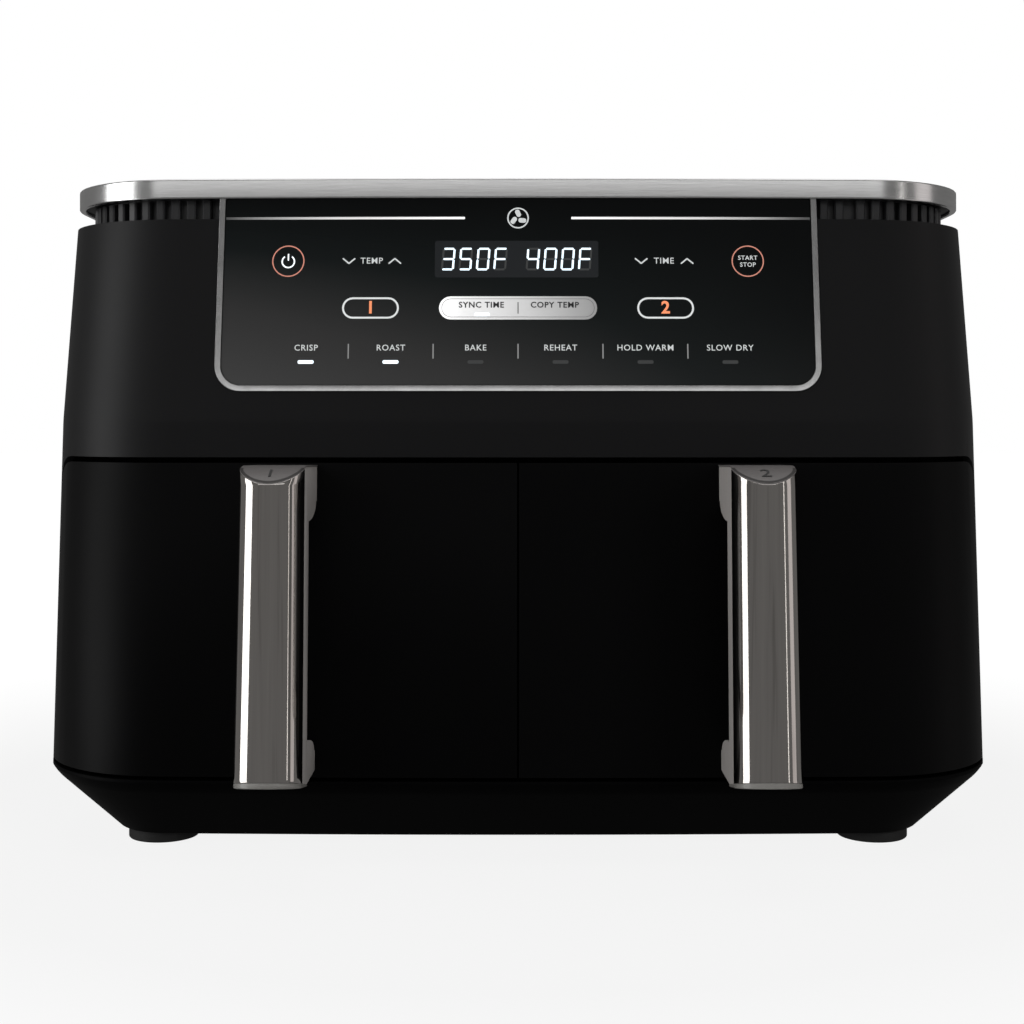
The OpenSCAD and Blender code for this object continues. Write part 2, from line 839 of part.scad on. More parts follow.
module drawer_screws() {
    color(zinc) {
        on_drawer() for (z = screw_z) translate([0, seat_y + skin + 0.3, z]) {
            rotate([90, 0, 0]) cylinder(r = screw_r, h = 14);
            rotate([-90, 0, 0]) cylinder(r = screw_head_r, h = 2);
        }
        for (p = basket_screw_at) translate([p[0], backplate_y - backplate_t, p[1]]) {
            rotate([-90, 0, 0]) cylinder(r = screw_r, h = 5.4);
            rotate([90, 0, 0]) cylinder(r = screw_head_r, h = 2);
        }
    }
}

// ---- Handle, right-hand side, in its own frame ----

// A side view of the handle, drawn from points [y, z], as a solid wider than the handle
module side_view(points) {
    rotate([90, 0, 90]) linear_extrude(2 * handle_w, center = true) polygon(points);
}

// Everything between the handle's underside, which rises towards the front, and its top, which bends down there
module handle_slice(low, rise, high) {
    tip = bend_y - bend_r * sin(bend_end);
    side_view(concat(
        [[bar_back, low], [seat_y, low + root_rise], [seat_y, high]],
        [for (a = [0 : 4 : bend_end]) [bend_y - bend_r * sin(a), high - bend_r * (1 - cos(a))]],
        [[tip, low + rise * (bar_back - tip)]]
    ));
}

// The gap for the fingers, which is shorter at the bar because both brackets have a round shoulder there
module finger_window() {
    side_view(concat(
        [[finger_gap, gap_low], [finger_gap, gap_high]],
        [for (a = [0 : 9 : 90]) [bar_back + shoulder_y * cos(a), gap_high - shoulder_z * sin(a)]],
        [for (a = [90 : -9 : 0]) [bar_back + shoulder_y * cos(a), gap_low + shoulder_z * sin(a)]]
    ));
}

module handle_core() {
    color(warm_grey) on_drawer() difference() {
        intersection() {
            union() {
                translate([-core_w / 2, crown_y, 0]) cube([core_w, seat_y - crown_y, tall]);
                linear_extrude(tall)
                    polygon(crown(handle_w / 2 - sleeve_t - slide_fit, handle_crown - sleeve_t - slide_fit));
            }
            handle_slice(sleeve_low - ease, sleeve_rise, handle_high - cap_t);
        }
        finger_window();
        holes_along_y([for (z = screw_z) [0, z]], -12, screw_hole_r, 20);
    }
}

module handle_sleeve() {
    color(bright) on_drawer() intersection() {
        linear_extrude(tall) difference() {
            polygon(crown(handle_w / 2, handle_crown));
            polygon(crown(handle_w / 2 - sleeve_t, handle_crown - sleeve_t));
        }
        handle_slice(sleeve_low, sleeve_rise, handle_high);
    }
}

// The flat top of the handle, which carries the drawer's number
module handle_cap() {
    color(soft_black) on_drawer() intersection() {
        union() {
            translate([-core_w / 2, crown_y, 0]) cube([core_w, seat_y - crown_y, tall]);
            linear_extrude(tall)
                polygon(crown(handle_w / 2 - sleeve_t - slide_fit, handle_crown - sleeve_t - slide_fit));
        }
        difference() {
            handle_slice(0, 0, handle_high);
            handle_slice(-over, 0, handle_high - cap_t);
        }
    }
}

// The rounded foot of the handle, below the bright front
module handle_end() {
    color(warm_grey) on_drawer() intersection() {
        union() {
            translate([-core_w / 2, crown_y, 0]) cube([core_w, bar_back - crown_y, tall]);
            linear_extrude(tall) polygon(crown(handle_w / 2, handle_crown));
        }
        difference() {
            handle_slice(handle_low, foot_rise, handle_high);
            handle_slice(sleeve_low - ease, sleeve_rise, handle_high + over);
        }
    }
}

// ---- Crisper plate, right-hand side ----

module at_plate() {
    translate([fan_x, basket_mid_y, plate_z]) children();
}

module at_bumpers() {
    at_plate() for (x = [-bumper_x, bumper_x], y = [-bumper_y, bumper_y]) translate([x, y, 0]) children();
}

module crisper_plate() {
    color(warm_grey) difference() {
        at_plate() difference() {
            linear_extrude(plate_t) rounded(plate_size[0], plate_size[1], basket_r - basket_wall - plate_gap);
            for (x = [-2 : 2], y = [-3 : 3])
                translate([x * air_hole_pitch, y * air_hole_pitch, -over]) cylinder(r = air_hole_r, h = 4);
        }
        at_bumpers() translate([0, 0, -over]) cylinder(r = bumper_hole_r, h = 4);
    }
}

module plate_bumpers() {
    low = basket_floor + basket_wall + 0.3 - plate_z;
    color(silicone) at_bumpers() {
        translate([0, 0, low]) cylinder(r = bumper_r, h = -low);
        cylinder(r = bumper_hole_r - slide_fit, h = plate_t + 0.5);
        translate([0, 0, plate_t]) cylinder(r = bumper_r, h = 2);
    }
}

main_housing();
base_tray();
drawer_frame();
centre_divider();
neck_grille();
top_band();
top_cover();
panel_glass();
panel_trim();
panel_carrier();
control_board();
display_module();
power_board();
rear_cover();
cable_gland();
base_screws();
rear_screws();
rear_spacers();
motor_brackets();
thermal_sensors();
drawer_sensors();
exhaust_ducts();
foot(foot_at[0]);  // foot_front_left
foot(foot_at[1]);  // foot_front_right
foot(foot_at[2]);  // foot_rear_left
foot(foot_at[3]);  // foot_rear_right
left() cooking_chamber();  // cooking_chamber_left
cooking_chamber();  // cooking_chamber_right
left() heater_coil();  // heater_coil_left
heater_coil();  // heater_coil_right
left() fan_guard();  // fan_guard_left
fan_guard();  // fan_guard_right
left() motor();  // motor_left
motor();  // motor_right
left() drawer_front();  // drawer_front_left
drawer_front();  // drawer_front_right
left() drawer_backplate();  // drawer_backplate_left
drawer_backplate();  // drawer_backplate_right
left() basket();  // basket_left
basket();  // basket_right
left() handle_core();  // handle_core_left
handle_core();  // handle_core_right
left() handle_sleeve();  // handle_sleeve_left
handle_sleeve();  // handle_sleeve_right
left() handle_cap();  // handle_cap_left
handle_cap();  // handle_cap_right
left() handle_end();  // handle_end_left
handle_end();  // handle_end_right
left() drawer_screws();  // drawer_screws_left
drawer_screws();  // drawer_screws_right
left() crisper_plate();  // crisper_plate_left
crisper_plate();  // crisper_plate_right
left() plate_bumpers();  // plate_bumpers_left
plate_bumpers();  // plate_bumpers_right
left() convection_fan();  // convection_fan_left
convection_fan();  // convection_fan_right
left() cooling_fan();  // cooling_fan_left
cooling_fan();  // cooling_fan_right
left() fan_shaft();  // fan_shaft_left
fan_shaft();  // fan_shaft_right
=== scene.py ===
import json
from math import atan2, cos, pi, radians, sin

import bmesh
import bpy
from mathutils import Matrix, Vector


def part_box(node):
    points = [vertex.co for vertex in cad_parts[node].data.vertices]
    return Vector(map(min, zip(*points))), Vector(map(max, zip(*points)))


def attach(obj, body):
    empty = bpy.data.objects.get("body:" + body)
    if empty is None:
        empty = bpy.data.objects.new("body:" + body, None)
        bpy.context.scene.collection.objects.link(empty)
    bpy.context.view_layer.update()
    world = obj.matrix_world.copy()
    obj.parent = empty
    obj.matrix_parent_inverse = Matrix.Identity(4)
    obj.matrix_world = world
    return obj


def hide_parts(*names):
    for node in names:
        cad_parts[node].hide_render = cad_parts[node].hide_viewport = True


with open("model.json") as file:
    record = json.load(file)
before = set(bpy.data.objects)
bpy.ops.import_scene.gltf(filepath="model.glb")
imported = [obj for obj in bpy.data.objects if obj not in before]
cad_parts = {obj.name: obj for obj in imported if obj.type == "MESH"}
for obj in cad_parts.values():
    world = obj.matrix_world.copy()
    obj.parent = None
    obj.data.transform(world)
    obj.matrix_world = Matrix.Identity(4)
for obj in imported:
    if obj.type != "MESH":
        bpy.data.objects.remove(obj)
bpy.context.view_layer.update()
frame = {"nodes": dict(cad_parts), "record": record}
cad = frame["nodes"]
mm = 0.001


# ---------------------------------------------------------------------------------------------------------
# Housing. One hollow moulding in black plastic with a fine satin grain: upright below, leaning back above
# the crease, open below for both drawers and notched at the top for the touch panel. It stands on the base.

def rest():
    """Back to object mode with nothing selected."""
    if bpy.context.object and bpy.context.object.mode != "OBJECT":
        bpy.ops.object.mode_set(mode="OBJECT")
    bpy.ops.object.select_all(action="DESELECT")


def work_on(piece):
    """Only this piece is selected and active."""
    rest()
    piece.select_set(True)
    bpy.context.view_layer.objects.active = piece


def edit(piece):
    work_on(piece)
    bpy.ops.object.mode_set(mode="EDIT")


def pick(kind, wanted):
    """Selects the faces, edges or vertices of the mesh in edit mode that pass a test of part and middle."""
    bpy.ops.mesh.select_mode(type=kind)
    bpy.ops.mesh.select_all(action="DESELECT")
    mesh = bmesh.from_edit_mesh(bpy.context.object.data)
    parts = {"FACE": mesh.faces, "EDGE": mesh.edges, "VERT": mesh.verts}[kind]
    for part in parts:
        middle = part.co if kind == "VERT" else sum((v.co for v in part.verts), Vector()) / len(part.verts)
        if wanted(part, middle):
            part.select_set(True)
    mesh.select_flush_mode()
    bmesh.update_edit_mesh(bpy.context.object.data)


def near(a, b):
    return abs(a - b) < 0.05 * mm


def along(edge, axis):
    """Whether an edge runs along an axis, 0 for X, 1 for Y and 2 for Z."""
    run = edge.verts[1].co - edge.verts[0].co
    return abs(run[axis]) > 0.9 * run.length


def settle(piece):
    """Puts the piece's place into its mesh and leaves its object at the origin."""
    work_on(piece)
    bpy.ops.object.transform_apply(location=True, rotation=True, scale=True)
    return piece


def block(name, low, high):
    """A block between two corners."""
    low, high = Vector(low), Vector(high)
    rest()
    bpy.ops.mesh.primitive_cube_add(size=1, location=(low + high) / 2)
    piece = bpy.context.object
    piece.name = piece.data.name = name
    piece.scale = high - low
    return settle(piece)


def apply(piece, kind, **settings):
    """Adds a modifier with its settings and applies it."""
    work_on(piece)
    modifier = piece.modifiers.new(kind.lower(), kind)
    for key, value in settings.items():
        setattr(modifier, key, value)
    bpy.ops.object.modifier_apply(modifier=modifier.name)


def cut(piece, tool, operation="DIFFERENCE"):
    """Cuts the piece with a tool, which is used up."""
    apply(piece, "BOOLEAN", object=tool, operation=operation, solver="EXACT")
    bpy.data.objects.remove(tool)


def soften(piece, width, segments=2, angle=38):
    """Rounds the sharp edges and smooths the rest."""
    apply(piece, "BEVEL", width=width, segments=segments, limit_method="ANGLE", angle_limit=radians(angle),
          use_clamp_overlap=True, harden_normals=False, miter_outer="MITER_ARC")
    work_on(piece)
    bpy.ops.object.shade_smooth_by_angle(angle=radians(angle))
    apply(piece, "WEIGHTED_NORMAL", keep_sharp=True, weight=60)


def round_upright(offset, segments, wanted):
    """Rounds the upright edges whose middle passes a test."""
    pick("EDGE", lambda edge, middle: along(edge, 2) and wanted(middle))
    bpy.ops.mesh.bevel(offset=offset, segments=segments, affect="EDGES")


bow = 2.7 * mm


def rounded_body(name, levels, front_corner, back_corner, columns=14):
    """A closed body through levels of height, half width, front and back, with a bowed front."""
    z0, w0, f0, b0 = levels[0]
    flat = w0 - front_corner
    piece = block(name, (-w0, f0 + bow, z0), (w0, b0, levels[1][0]))
    edit(piece)
    middle_y = (f0 + b0) / 2
    round_upright(front_corner, 14, lambda m: m.y < middle_y)
    round_upright(back_corner, 10, lambda m: m.y > middle_y and abs(m.x) > w0 - back_corner / 2)
    pick("EDGE", lambda edge, m: along(edge, 0) and near(m.y, f0 + bow))
    bpy.ops.mesh.subdivide(number_cuts=columns - 1)
    for i in range(1, columns):
        t = 2 * i / columns - 1
        pick("VERT", lambda v, m: near(m.y, f0 + bow) and near(m.x, flat * t))
        bpy.ops.transform.translate(value=(0, -bow * (1 - t * t), 0))
    for below, here in zip(levels, levels[1:]):
        (z1, w1, f1, b1), (z2, w2, f2, b2) = below, here
        pick("FACE", lambda face, m: face.normal.z > 0.9)
        if below is not levels[0]:
            bpy.ops.mesh.extrude_region_move(TRANSFORM_OT_translate={"value": (0, 0, z2 - z1)})
        bpy.ops.transform.resize(value=(w2 / w1, (b2 - f2) / (b1 - f1), 1),
                                 center_override=(0, (f1 + b1) / 2, z2))
        bpy.ops.transform.translate(value=(0, (f2 + b2 - f1 - b1) / 2, 0))
    rest()
    return piece


class Value:
    """A number that varies over a surface. Calculating with it adds Math nodes."""

    def __init__(self, finish, socket):
        self.finish, self.socket = finish, socket

    def math(self, kind, a, b):
        return self.finish.node("Math", {"operation": kind}, a, b)

    def __add__(self, other):
        return self.math("ADD", self, other)

    def __sub__(self, other):
        return self.math("SUBTRACT", self, other)

    def __rsub__(self, other):
        return self.math("SUBTRACT", other, self)

    def __mul__(self, other):
        return self.math("MULTIPLY", self, other)

    __radd__, __rmul__ = __add__, __mul__


class Finish:
    """A material under construction, with its constants on the shader's own sockets."""

    def __init__(self, name, **constants):
        self.material = bpy.data.materials.new(name)
        self.material.use_nodes = True
        self.tree = self.material.node_tree
        self.shader = self.tree.nodes["Principled BSDF"]
        for key, value in constants.items():
            self.shader.inputs[key.replace("_", " ")].default_value = value

    def node(self, kind, settings, *inputs, output=0, **named):
        """Adds a node with its settings, then its inputs by place or by name, and wraps one output."""
        made = self.tree.nodes.new("ShaderNode" + kind)
        stops = settings.pop("stops", ())
        for key, value in settings.items():
            setattr(made, key, value)
        for i, (place, color) in enumerate(stops):
            stop = made.color_ramp.elements[i] if i < 2 else made.color_ramp.elements.new(place)
            stop.position, stop.color = place, color
        slots = list(enumerate(inputs)) + [(key.replace("_", " "), value) for key, value in named.items()]
        for key, value in slots:
            if isinstance(value, Value):
                self.tree.links.new(value.socket, made.inputs[key])
            else:
                made.inputs[key].default_value = value
        return Value(self, made.outputs[output])

    def place(self, scale=(1, 1, 1)):
        """The place on the object, stretched by a scale."""
        where = self.node("TexCoord", {}, output="Object")
        return self.node("Mapping", {}, where, Scale=scale)

    def axis(self, name):
        """One coordinate of the place on the object, in metres."""
        return self.node("SeparateXYZ", {}, self.place(), output=name)

    def noise(self, scale, detail=3, roughness=0.5, stretch=(1, 1, 1)):
        where = self.place(stretch)
        return self.node("TexNoise", {}, where, Scale=scale, Detail=detail, Roughness=roughness)

    def ramp(self, value, *stops):
        """Colours along a value, each stop a place and a grey or a colour."""
        full = [(p, (c, c, c, 1) if isinstance(c, (int, float)) else (*c, 1)) for p, c in stops]
        return self.node("ValToRGB", {"stops": full}, value, output="Color")

    def between(self, factor, a, b):
        """A colour mixed from two by a factor."""
        mix = self.tree.nodes.new("ShaderNodeMix")
        mix.data_type = "RGBA"
        for key, value in (("Factor_Float", factor), ("A_Color", a), ("B_Color", b)):
            socket = next(s for s in mix.inputs if s.identifier == key)
            if isinstance(value, Value):
                self.tree.links.new(value.socket, socket)
            else:
                socket.default_value = value if key == "Factor_Float" else (*value, 1)
        return Value(self, next(s for s in mix.outputs if s.identifier == "Result_Color"))

    def drive(self, **sockets):
        for key, value in sockets.items():
            self.tree.links.new(value.socket, self.shader.inputs[key.replace("_", " ")])
        return self

    def bump(self, height, distance, strength=0.4):
        return self.drive(Normal=self.node("Bump", {}, Height=height, Distance=distance, Strength=strength))


def paint(piece, finish):
    """Gives the piece this one finish."""
    piece.data.materials.clear()
    piece.data.materials.append(finish.material)


def moulded(name, color, rough, grain=0.02 * mm, level=0.3):
    """Moulded plastic with a fine spark-eroded grain and a faintly uneven gloss."""
    finish = Finish(name, Specular_IOR_Level=level)
    cloud = finish.noise(14, 2)
    fine = finish.noise(1600, 2, 0.6)
    finish.drive(Roughness=cloud * 0.1 + fine * 0.06 + (rough - 0.08))
    darker, lighter = [c * 0.75 for c in color], [c * 1.3 for c in color]
    finish.drive(Base_Color=finish.between(fine * 0.5 + cloud * 0.3, darker, lighter))
    return finish.bump(fine + finish.noise(520, 2) * 0.6, grain, 0.5)


low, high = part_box("main_housing")
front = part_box("base_tray")[0].y
half_w, back, seam_z, shell_top = high.x, high.y, low.z, high.z
wall = 3 * mm
crease_z, crease_round = 184.5 * mm, 1.6 * mm
front_corner, back_corner, mouth_corner, panel_corner = 60 * mm, 30 * mm, 16 * mm, 11 * mm
crease_in, crease_lean = 3.6 * mm, 3.5 * mm
top_in, top_lean = 6.7 * mm, 18.7 * mm
crease_level = (crease_z, half_w - crease_in, front + crease_lean, back)
top_level = (shell_top, half_w - top_in, front + top_lean, back)
shell_levels = [(seam_z, half_w, front, back), crease_level, top_level]
face_low, face_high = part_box("drawer_front_right")
side_gap, lintel_gap, notch_gap = 0.8 * mm, 2.3 * mm, 0.2 * mm
opening_in, opening_deep = 12 * mm, 9 * mm
panel_reach = (-140 * mm, -60 * mm)
housing_black = moulded("housing_black", (0.0034, 0.0034, 0.0037), 0.46, level=0.16)


def side_cutter(name, low, high, corner):
    """A block with its upper back edge rounded, as the drawers' corners are."""
    tool = block(name, low, high)
    edit(tool)
    pick("EDGE", lambda edge, m: along(edge, 0) and near(m.y, high[1]) and near(m.z, high[2]))
    bpy.ops.mesh.bevel(offset=corner, segments=8, affect="EDGES")
    rest()
    return tool


def panel_cutter(name, half, bottom, top, corner):
    """A block in the outline of the panel, its two lower corners rounded."""
    tool = block(name, (-half, panel_reach[0], bottom), (half, panel_reach[1], top))
    edit(tool)
    pick("EDGE", lambda edge, m: along(edge, 1) and near(m.z, bottom))
    bpy.ops.mesh.bevel(offset=corner, segments=10, affect="EDGES")
    rest()
    return tool


trim_low, trim_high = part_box("panel_trim")
housing = rounded_body("housing_shell", shell_levels, front_corner, back_corner)
edit(housing)
pick("EDGE", lambda edge, m: near(m.z, crease_z))
bpy.ops.mesh.bevel(offset=crease_round, segments=3, affect="EDGES")
pick("FACE", lambda face, m: abs(face.normal.z) > 0.95)
bpy.ops.mesh.delete(type="FACE")
apply(housing, "SOLIDIFY", thickness=wall, offset=-1, use_even_offset=True)
cut(housing, side_cutter("mouth", (-1, -1, 0), (1, face_high.y + side_gap, face_high.z + lintel_gap),
                         mouth_corner))
cut(housing, panel_cutter("notch", trim_high.x + notch_gap, trim_low.z - notch_gap, 0.3, panel_corner))
cover_low, cover_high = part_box("rear_cover")
cut(housing, block("rear_opening", (cover_low.x + opening_in, back - opening_deep, cover_low.z + opening_in),
                   (cover_high.x - opening_in, back + opening_deep, cover_high.z - opening_in)))
soften(housing, 0.7 * mm)
paint(housing, housing_black)
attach(housing, "root")
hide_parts("main_housing")

# ---------------------------------------------------------------------------------------------------------
# Base tray. A shallow black moulding under the whole body, its sides drawn in towards the floor, with a flat
# deck under the drawers. Four screws hold it from below.

foot_plug, inset, rim_in, foil = 5 * mm, 30 * mm, 1.6 * mm, 1 * mm
chamfer_round, deck_edge, deck_drop = 3 * mm, 3 * mm, 1.2 * mm
floor_corner, floor_back_corner, edge_corner = 26 * mm, 20 * mm, front_corner - 1 * mm
tray_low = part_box("foot_front_left")[1].z - foot_plug
chamfer_z, edge_z = seam_z - 4.4 * mm, seam_z - 1.4 * mm
floor_size = (half_w - inset, front + inset, back - inset)
base_black = moulded("base_black", (0.0012, 0.0012, 0.0013), 0.5, level=0.02)


def join(pieces, name):
    """Joins pieces into one with its own name."""
    rest()
    for piece in pieces:
        piece.select_set(True)
    bpy.context.view_layer.objects.active = pieces[0]
    bpy.ops.object.join()
    pieces[0].name = pieces[0].data.name = name
    return pieces[0]


# The floor of the tray and its upper edge are two bodies with corners of their own, bridged by the chamfer
tray = rounded_body("base_shell", [(tray_low, *floor_size), (tray_low + foil, *floor_size)],
                    floor_corner, floor_back_corner)
upper = rounded_body("base_upper", [(chamfer_z, half_w - rim_in, front + rim_in, back - rim_in),
                                    (edge_z, half_w, front, back), (seam_z, half_w, front, back)],
                     edge_corner, back_corner)
edit(upper)
pick("FACE", lambda face, m: face.normal.z < -0.95)
bpy.ops.mesh.delete(type="FACE")
edit(tray)
pick("EDGE", lambda edge, m: near(m.z, tray_low + foil) or along(edge, 2))
bpy.ops.mesh.delete(type="EDGE")
tray = join([tray, upper], "base_shell")
edit(tray)
pick("EDGE", lambda edge, m: near(m.z, tray_low) or near(m.z, chamfer_z) and edge.is_boundary)
bpy.ops.mesh.bridge_edge_loops()
bpy.ops.mesh.select_all(action="SELECT")
bpy.ops.mesh.normals_make_consistent(inside=False)
pick("EDGE", lambda edge, m: near(m.z, chamfer_z))
bpy.ops.mesh.bevel(offset=chamfer_round, segments=3, affect="EDGES")
pick("FACE", lambda face, m: face.normal.z > 0.95)
bpy.ops.mesh.inset(thickness=deck_edge)
bpy.ops.mesh.extrude_region_move(TRANSFORM_OT_translate={"value": (0, 0, -deck_drop)})
rest()
soften(tray, 0.8 * mm)
paint(tray, base_black)
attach(tray, "root")
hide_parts("base_tray")

# ---------------------------------------------------------------------------------------------------------
# Feet. Four turned discs of black rubber, a little rounded at the rim, plugged into the base tray.

tread_w, tread_slope, tread_deep, foot_round = 4 * mm, 1.2 * mm, 1 * mm, 1.1 * mm
foot_rubber = moulded("foot_rubber", (0.012, 0.012, 0.012), 0.7, level=0.2)
for side in ("front_left", "front_right", "rear_left", "rear_right"):
    node = "foot_" + side
    foot_low, foot_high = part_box(node)
    middle = (foot_low + foot_high) / 2
    radius = (foot_high.x - foot_low.x) / 2
    rest()
    bpy.ops.mesh.primitive_cylinder_add(vertices=64, radius=radius, depth=tray_low,
                                        location=(middle.x, middle.y, tray_low / 2))
    foot = settle(bpy.context.object)
    foot.name = foot.data.name = "rubber_" + node
    edit(foot)
    pick("FACE", lambda face, m: abs(face.normal.z) > 0.9 and near(m.z, 0))
    bpy.ops.mesh.inset(thickness=tread_w)
    bpy.ops.mesh.inset(thickness=tread_slope)
    bpy.ops.transform.translate(value=(0, 0, tread_deep))
    rest()
    soften(foot, foot_round, 3)
    paint(foot, foot_rubber)
    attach(foot, "root")
    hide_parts(node)

# ---------------------------------------------------------------------------------------------------------
# Vent neck. A set-back black collar between the housing and the steel band, with close upright ribs and dark
# slots all round that take in the cooling air. It drops into the open top of the housing on a ledge.

band_low, band_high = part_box("top_band")
neck_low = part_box("neck_grille")[0]
neck_in, neck_lap, neck_wall = 10 * mm, 1.1 * mm, 2 * mm
neck_front, neck_back = band_low.y + neck_in, band_high.y - neck_in
neck_half = band_high.x - neck_in
neck_corner, neck_back_corner = 46 * mm, 20 * mm
rib_pitch, rib_w, rib_out, rib_root, rib_chamfer = 6.8 * mm, 3.9 * mm, 3.2 * mm, 0.5 * mm, 0.6 * mm
rib_z0, rib_z1, rib_clear = shell_top - 2.6 * mm, band_low.z + 0.2 * mm, 2 * mm
grille_black = moulded("grille_black", (0.012, 0.012, 0.013), 0.42, level=0.4)

neck = rounded_body("neck_wall", [(neck_low.z, neck_half, neck_front, neck_back),
                                  (band_low.z + neck_lap, neck_half, neck_front, neck_back)],
                    neck_corner, neck_back_corner)
edit(neck)
pick("FACE", lambda face, m: abs(face.normal.z) > 0.95)
bpy.ops.mesh.delete(type="FACE")
apply(neck, "SOLIDIFY", thickness=neck_wall, offset=-1)
ledge_in, ledge_low, ledge_high, ledge_deep = 3 * mm, 4 * mm, 6 * mm, 20 * mm
ledge_corner, ledge_back_corner = 54 * mm, 27 * mm
ledge_size = (band_high.x - ledge_in, band_low.y + ledge_in, band_high.y - ledge_in)
ledge = rounded_body("neck_ledge", [(neck_low.z + ledge_low, *ledge_size),
                                    (neck_low.z + ledge_high, *ledge_size)],
                     ledge_corner, ledge_back_corner)
cut(ledge, block("ledge_hole", (-neck_half + ledge_deep, neck_front + ledge_deep, 0),
                 (neck_half - ledge_deep, neck_back - ledge_deep, 0.4)))
notch_half = trim_high.x + 5 * mm
cut(ledge, block("ledge_front", (-notch_half, -0.2, 0), (notch_half, neck_front - 0.5 * mm, 0.4)))


def rib_places():
    """Where each rib stands on the neck, and which way it faces, walking round the collar."""
    straight_x = neck_half - neck_corner
    first_y, last_y = neck_front + neck_corner, neck_back - neck_back_corner
    for i in range(int(straight_x * 2 / rib_pitch)):
        x = -straight_x + (i + 0.5) * rib_pitch
        if abs(x) > trim_high.x + rib_clear:
            yield x, neck_front + bow * (x / straight_x) ** 2, -90
        yield x, neck_back, 90
    for i in range(int((last_y - first_y) / rib_pitch) + 1):
        for way in (-1, 1):
            yield way * neck_half, first_y + i * rib_pitch, 90 - 90 * way
    for corner, x0, y0, start in ((neck_corner, straight_x, first_y + bow, -90),
                                  (neck_back_corner, neck_half - neck_back_corner, last_y, 0)):
        steps = round(corner * pi / 2 / rib_pitch)
        for i in range(steps):
            turn = start + 90 * (i + 0.5) / steps
            for way in (-1, 1):
                yield (way * (x0 + corner * cos(radians(turn))), y0 + corner * sin(radians(turn)),
                       turn if way > 0 else 180 - turn)


rib = block("neck_rib", (-rib_root, -rib_w / 2, rib_z0), (rib_out, rib_w / 2, rib_z1))
edit(rib)
pick("EDGE", lambda edge, m: along(edge, 2) and m.x > 0)
bpy.ops.mesh.bevel(offset=rib_chamfer, segments=1, affect="EDGES")
rest()
ribs = []
for x, y, turn in rib_places():
    copy = bpy.data.objects.new("neck_rib_copy", rib.data.copy())
    copy.data.transform(Matrix.Translation((x, y, 0)) @ Matrix.Rotation(radians(turn), 4, "Z"))
    bpy.context.collection.objects.link(copy)
    ribs.append(copy)
bpy.data.objects.remove(rib)
neck = join([neck, ledge, *ribs], "vent_neck")
work_on(neck)
bpy.ops.object.shade_smooth_by_angle(angle=radians(35))
paint(neck, grille_black)
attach(neck, "root")
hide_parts("neck_grille")

# ---------------------------------------------------------------------------------------------------------
# Top band. One strip of bright stainless steel, lightly brushed along its length, bent round the top and
# folded in at its lower edge. It clips over the black top cover, which is dished by a millimetre.

fold, fold_up, lip, lip_down = 2.6 * mm, 1.4 * mm, 1.6 * mm, 1.5 * mm
band_corner, band_back_corner = 56 * mm, 30 * mm
band_deep, band_middle = band_high.y - band_low.y, ((band_low + band_high) / 2).y
band_size = (band_high.x, band_low.y, band_high.y)
band = rounded_body("steel_band", [(band_low.z, *band_size), (band_high.z, *band_size)],
                    band_corner, band_back_corner, columns=28)
edit(band)
pick("FACE", lambda face, m: abs(face.normal.z) > 0.9)
bpy.ops.mesh.delete(type="FACE")
pick("EDGE", lambda edge, m: near(m.z, band_low.z) and edge.is_boundary)
bpy.ops.mesh.extrude_region_move()
bpy.ops.transform.resize(value=(1 - fold / band_high.x, 1 - 2 * fold / band_deep, 1),
                         center_override=(0, band_middle, band_low.z))
bpy.ops.mesh.extrude_region_move(TRANSFORM_OT_translate={"value": (0, 0, fold_up)})
pick("EDGE", lambda edge, m: near(m.z, band_high.z) and edge.is_boundary)
bpy.ops.mesh.extrude_region_move()
bpy.ops.transform.resize(value=(1 - lip / band_high.x, 1 - 2 * lip / band_deep, 1),
                         center_override=(0, band_middle, band_high.z))
bpy.ops.mesh.extrude_region_move(TRANSFORM_OT_translate={"value": (0, 0, -lip_down)})
rest()
soften(band, 0.8 * mm, 3)
steel = Finish("band_steel", Metallic=1.0)
streak = steel.noise(60, 3, 0.6, (1, 1, 60))
fine_streak = steel.noise(260, 2, 0.6, (0.3, 0.3, 14))
steel.drive(Base_Color=steel.ramp(streak, (0.3, (0.60, 0.60, 0.60)), (0.7, (0.72, 0.72, 0.715))),
            Roughness=fine_streak * 0.09 + streak * 0.05 + 0.13)
steel.bump(fine_streak, 0.01 * mm, 0.25)
paint(band, steel)
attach(band, "root")
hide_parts("top_band")

lid_in, lid_up, lid_down = 1.7 * mm, 1.2 * mm, 0.9 * mm
border, dish_slope, dish = 7 * mm, 5 * mm, 1.0 * mm
lid_corner, lid_back_corner = 54 * mm, 28 * mm
lid_size = (band_high.x - lid_in, band_low.y + lid_in, band_high.y - lid_in)
lid = rounded_body("top_lid", [(band_low.z + lid_up, *lid_size), (band_high.z - lid_down, *lid_size)],
                   lid_corner, lid_back_corner, columns=28)
edit(lid)
pick("FACE", lambda face, m: face.normal.z > 0.9)
bpy.ops.mesh.inset(thickness=border)
bpy.ops.mesh.inset(thickness=dish_slope)
bpy.ops.transform.translate(value=(0, 0, -dish))
rest()
soften(lid, 0.8 * mm)
lid_black = moulded("lid_black", (0.010, 0.010, 0.0105), 0.45)
paint(lid, lid_black)
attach(lid, "root")
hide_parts("top_cover")

# ---------------------------------------------------------------------------------------------------------
# Touch panel. A sheet of black gloss plastic, printed from behind and lit through, bent to the bow of the
# housing and held in a satin chrome trim that is open at the top and runs up under the band.

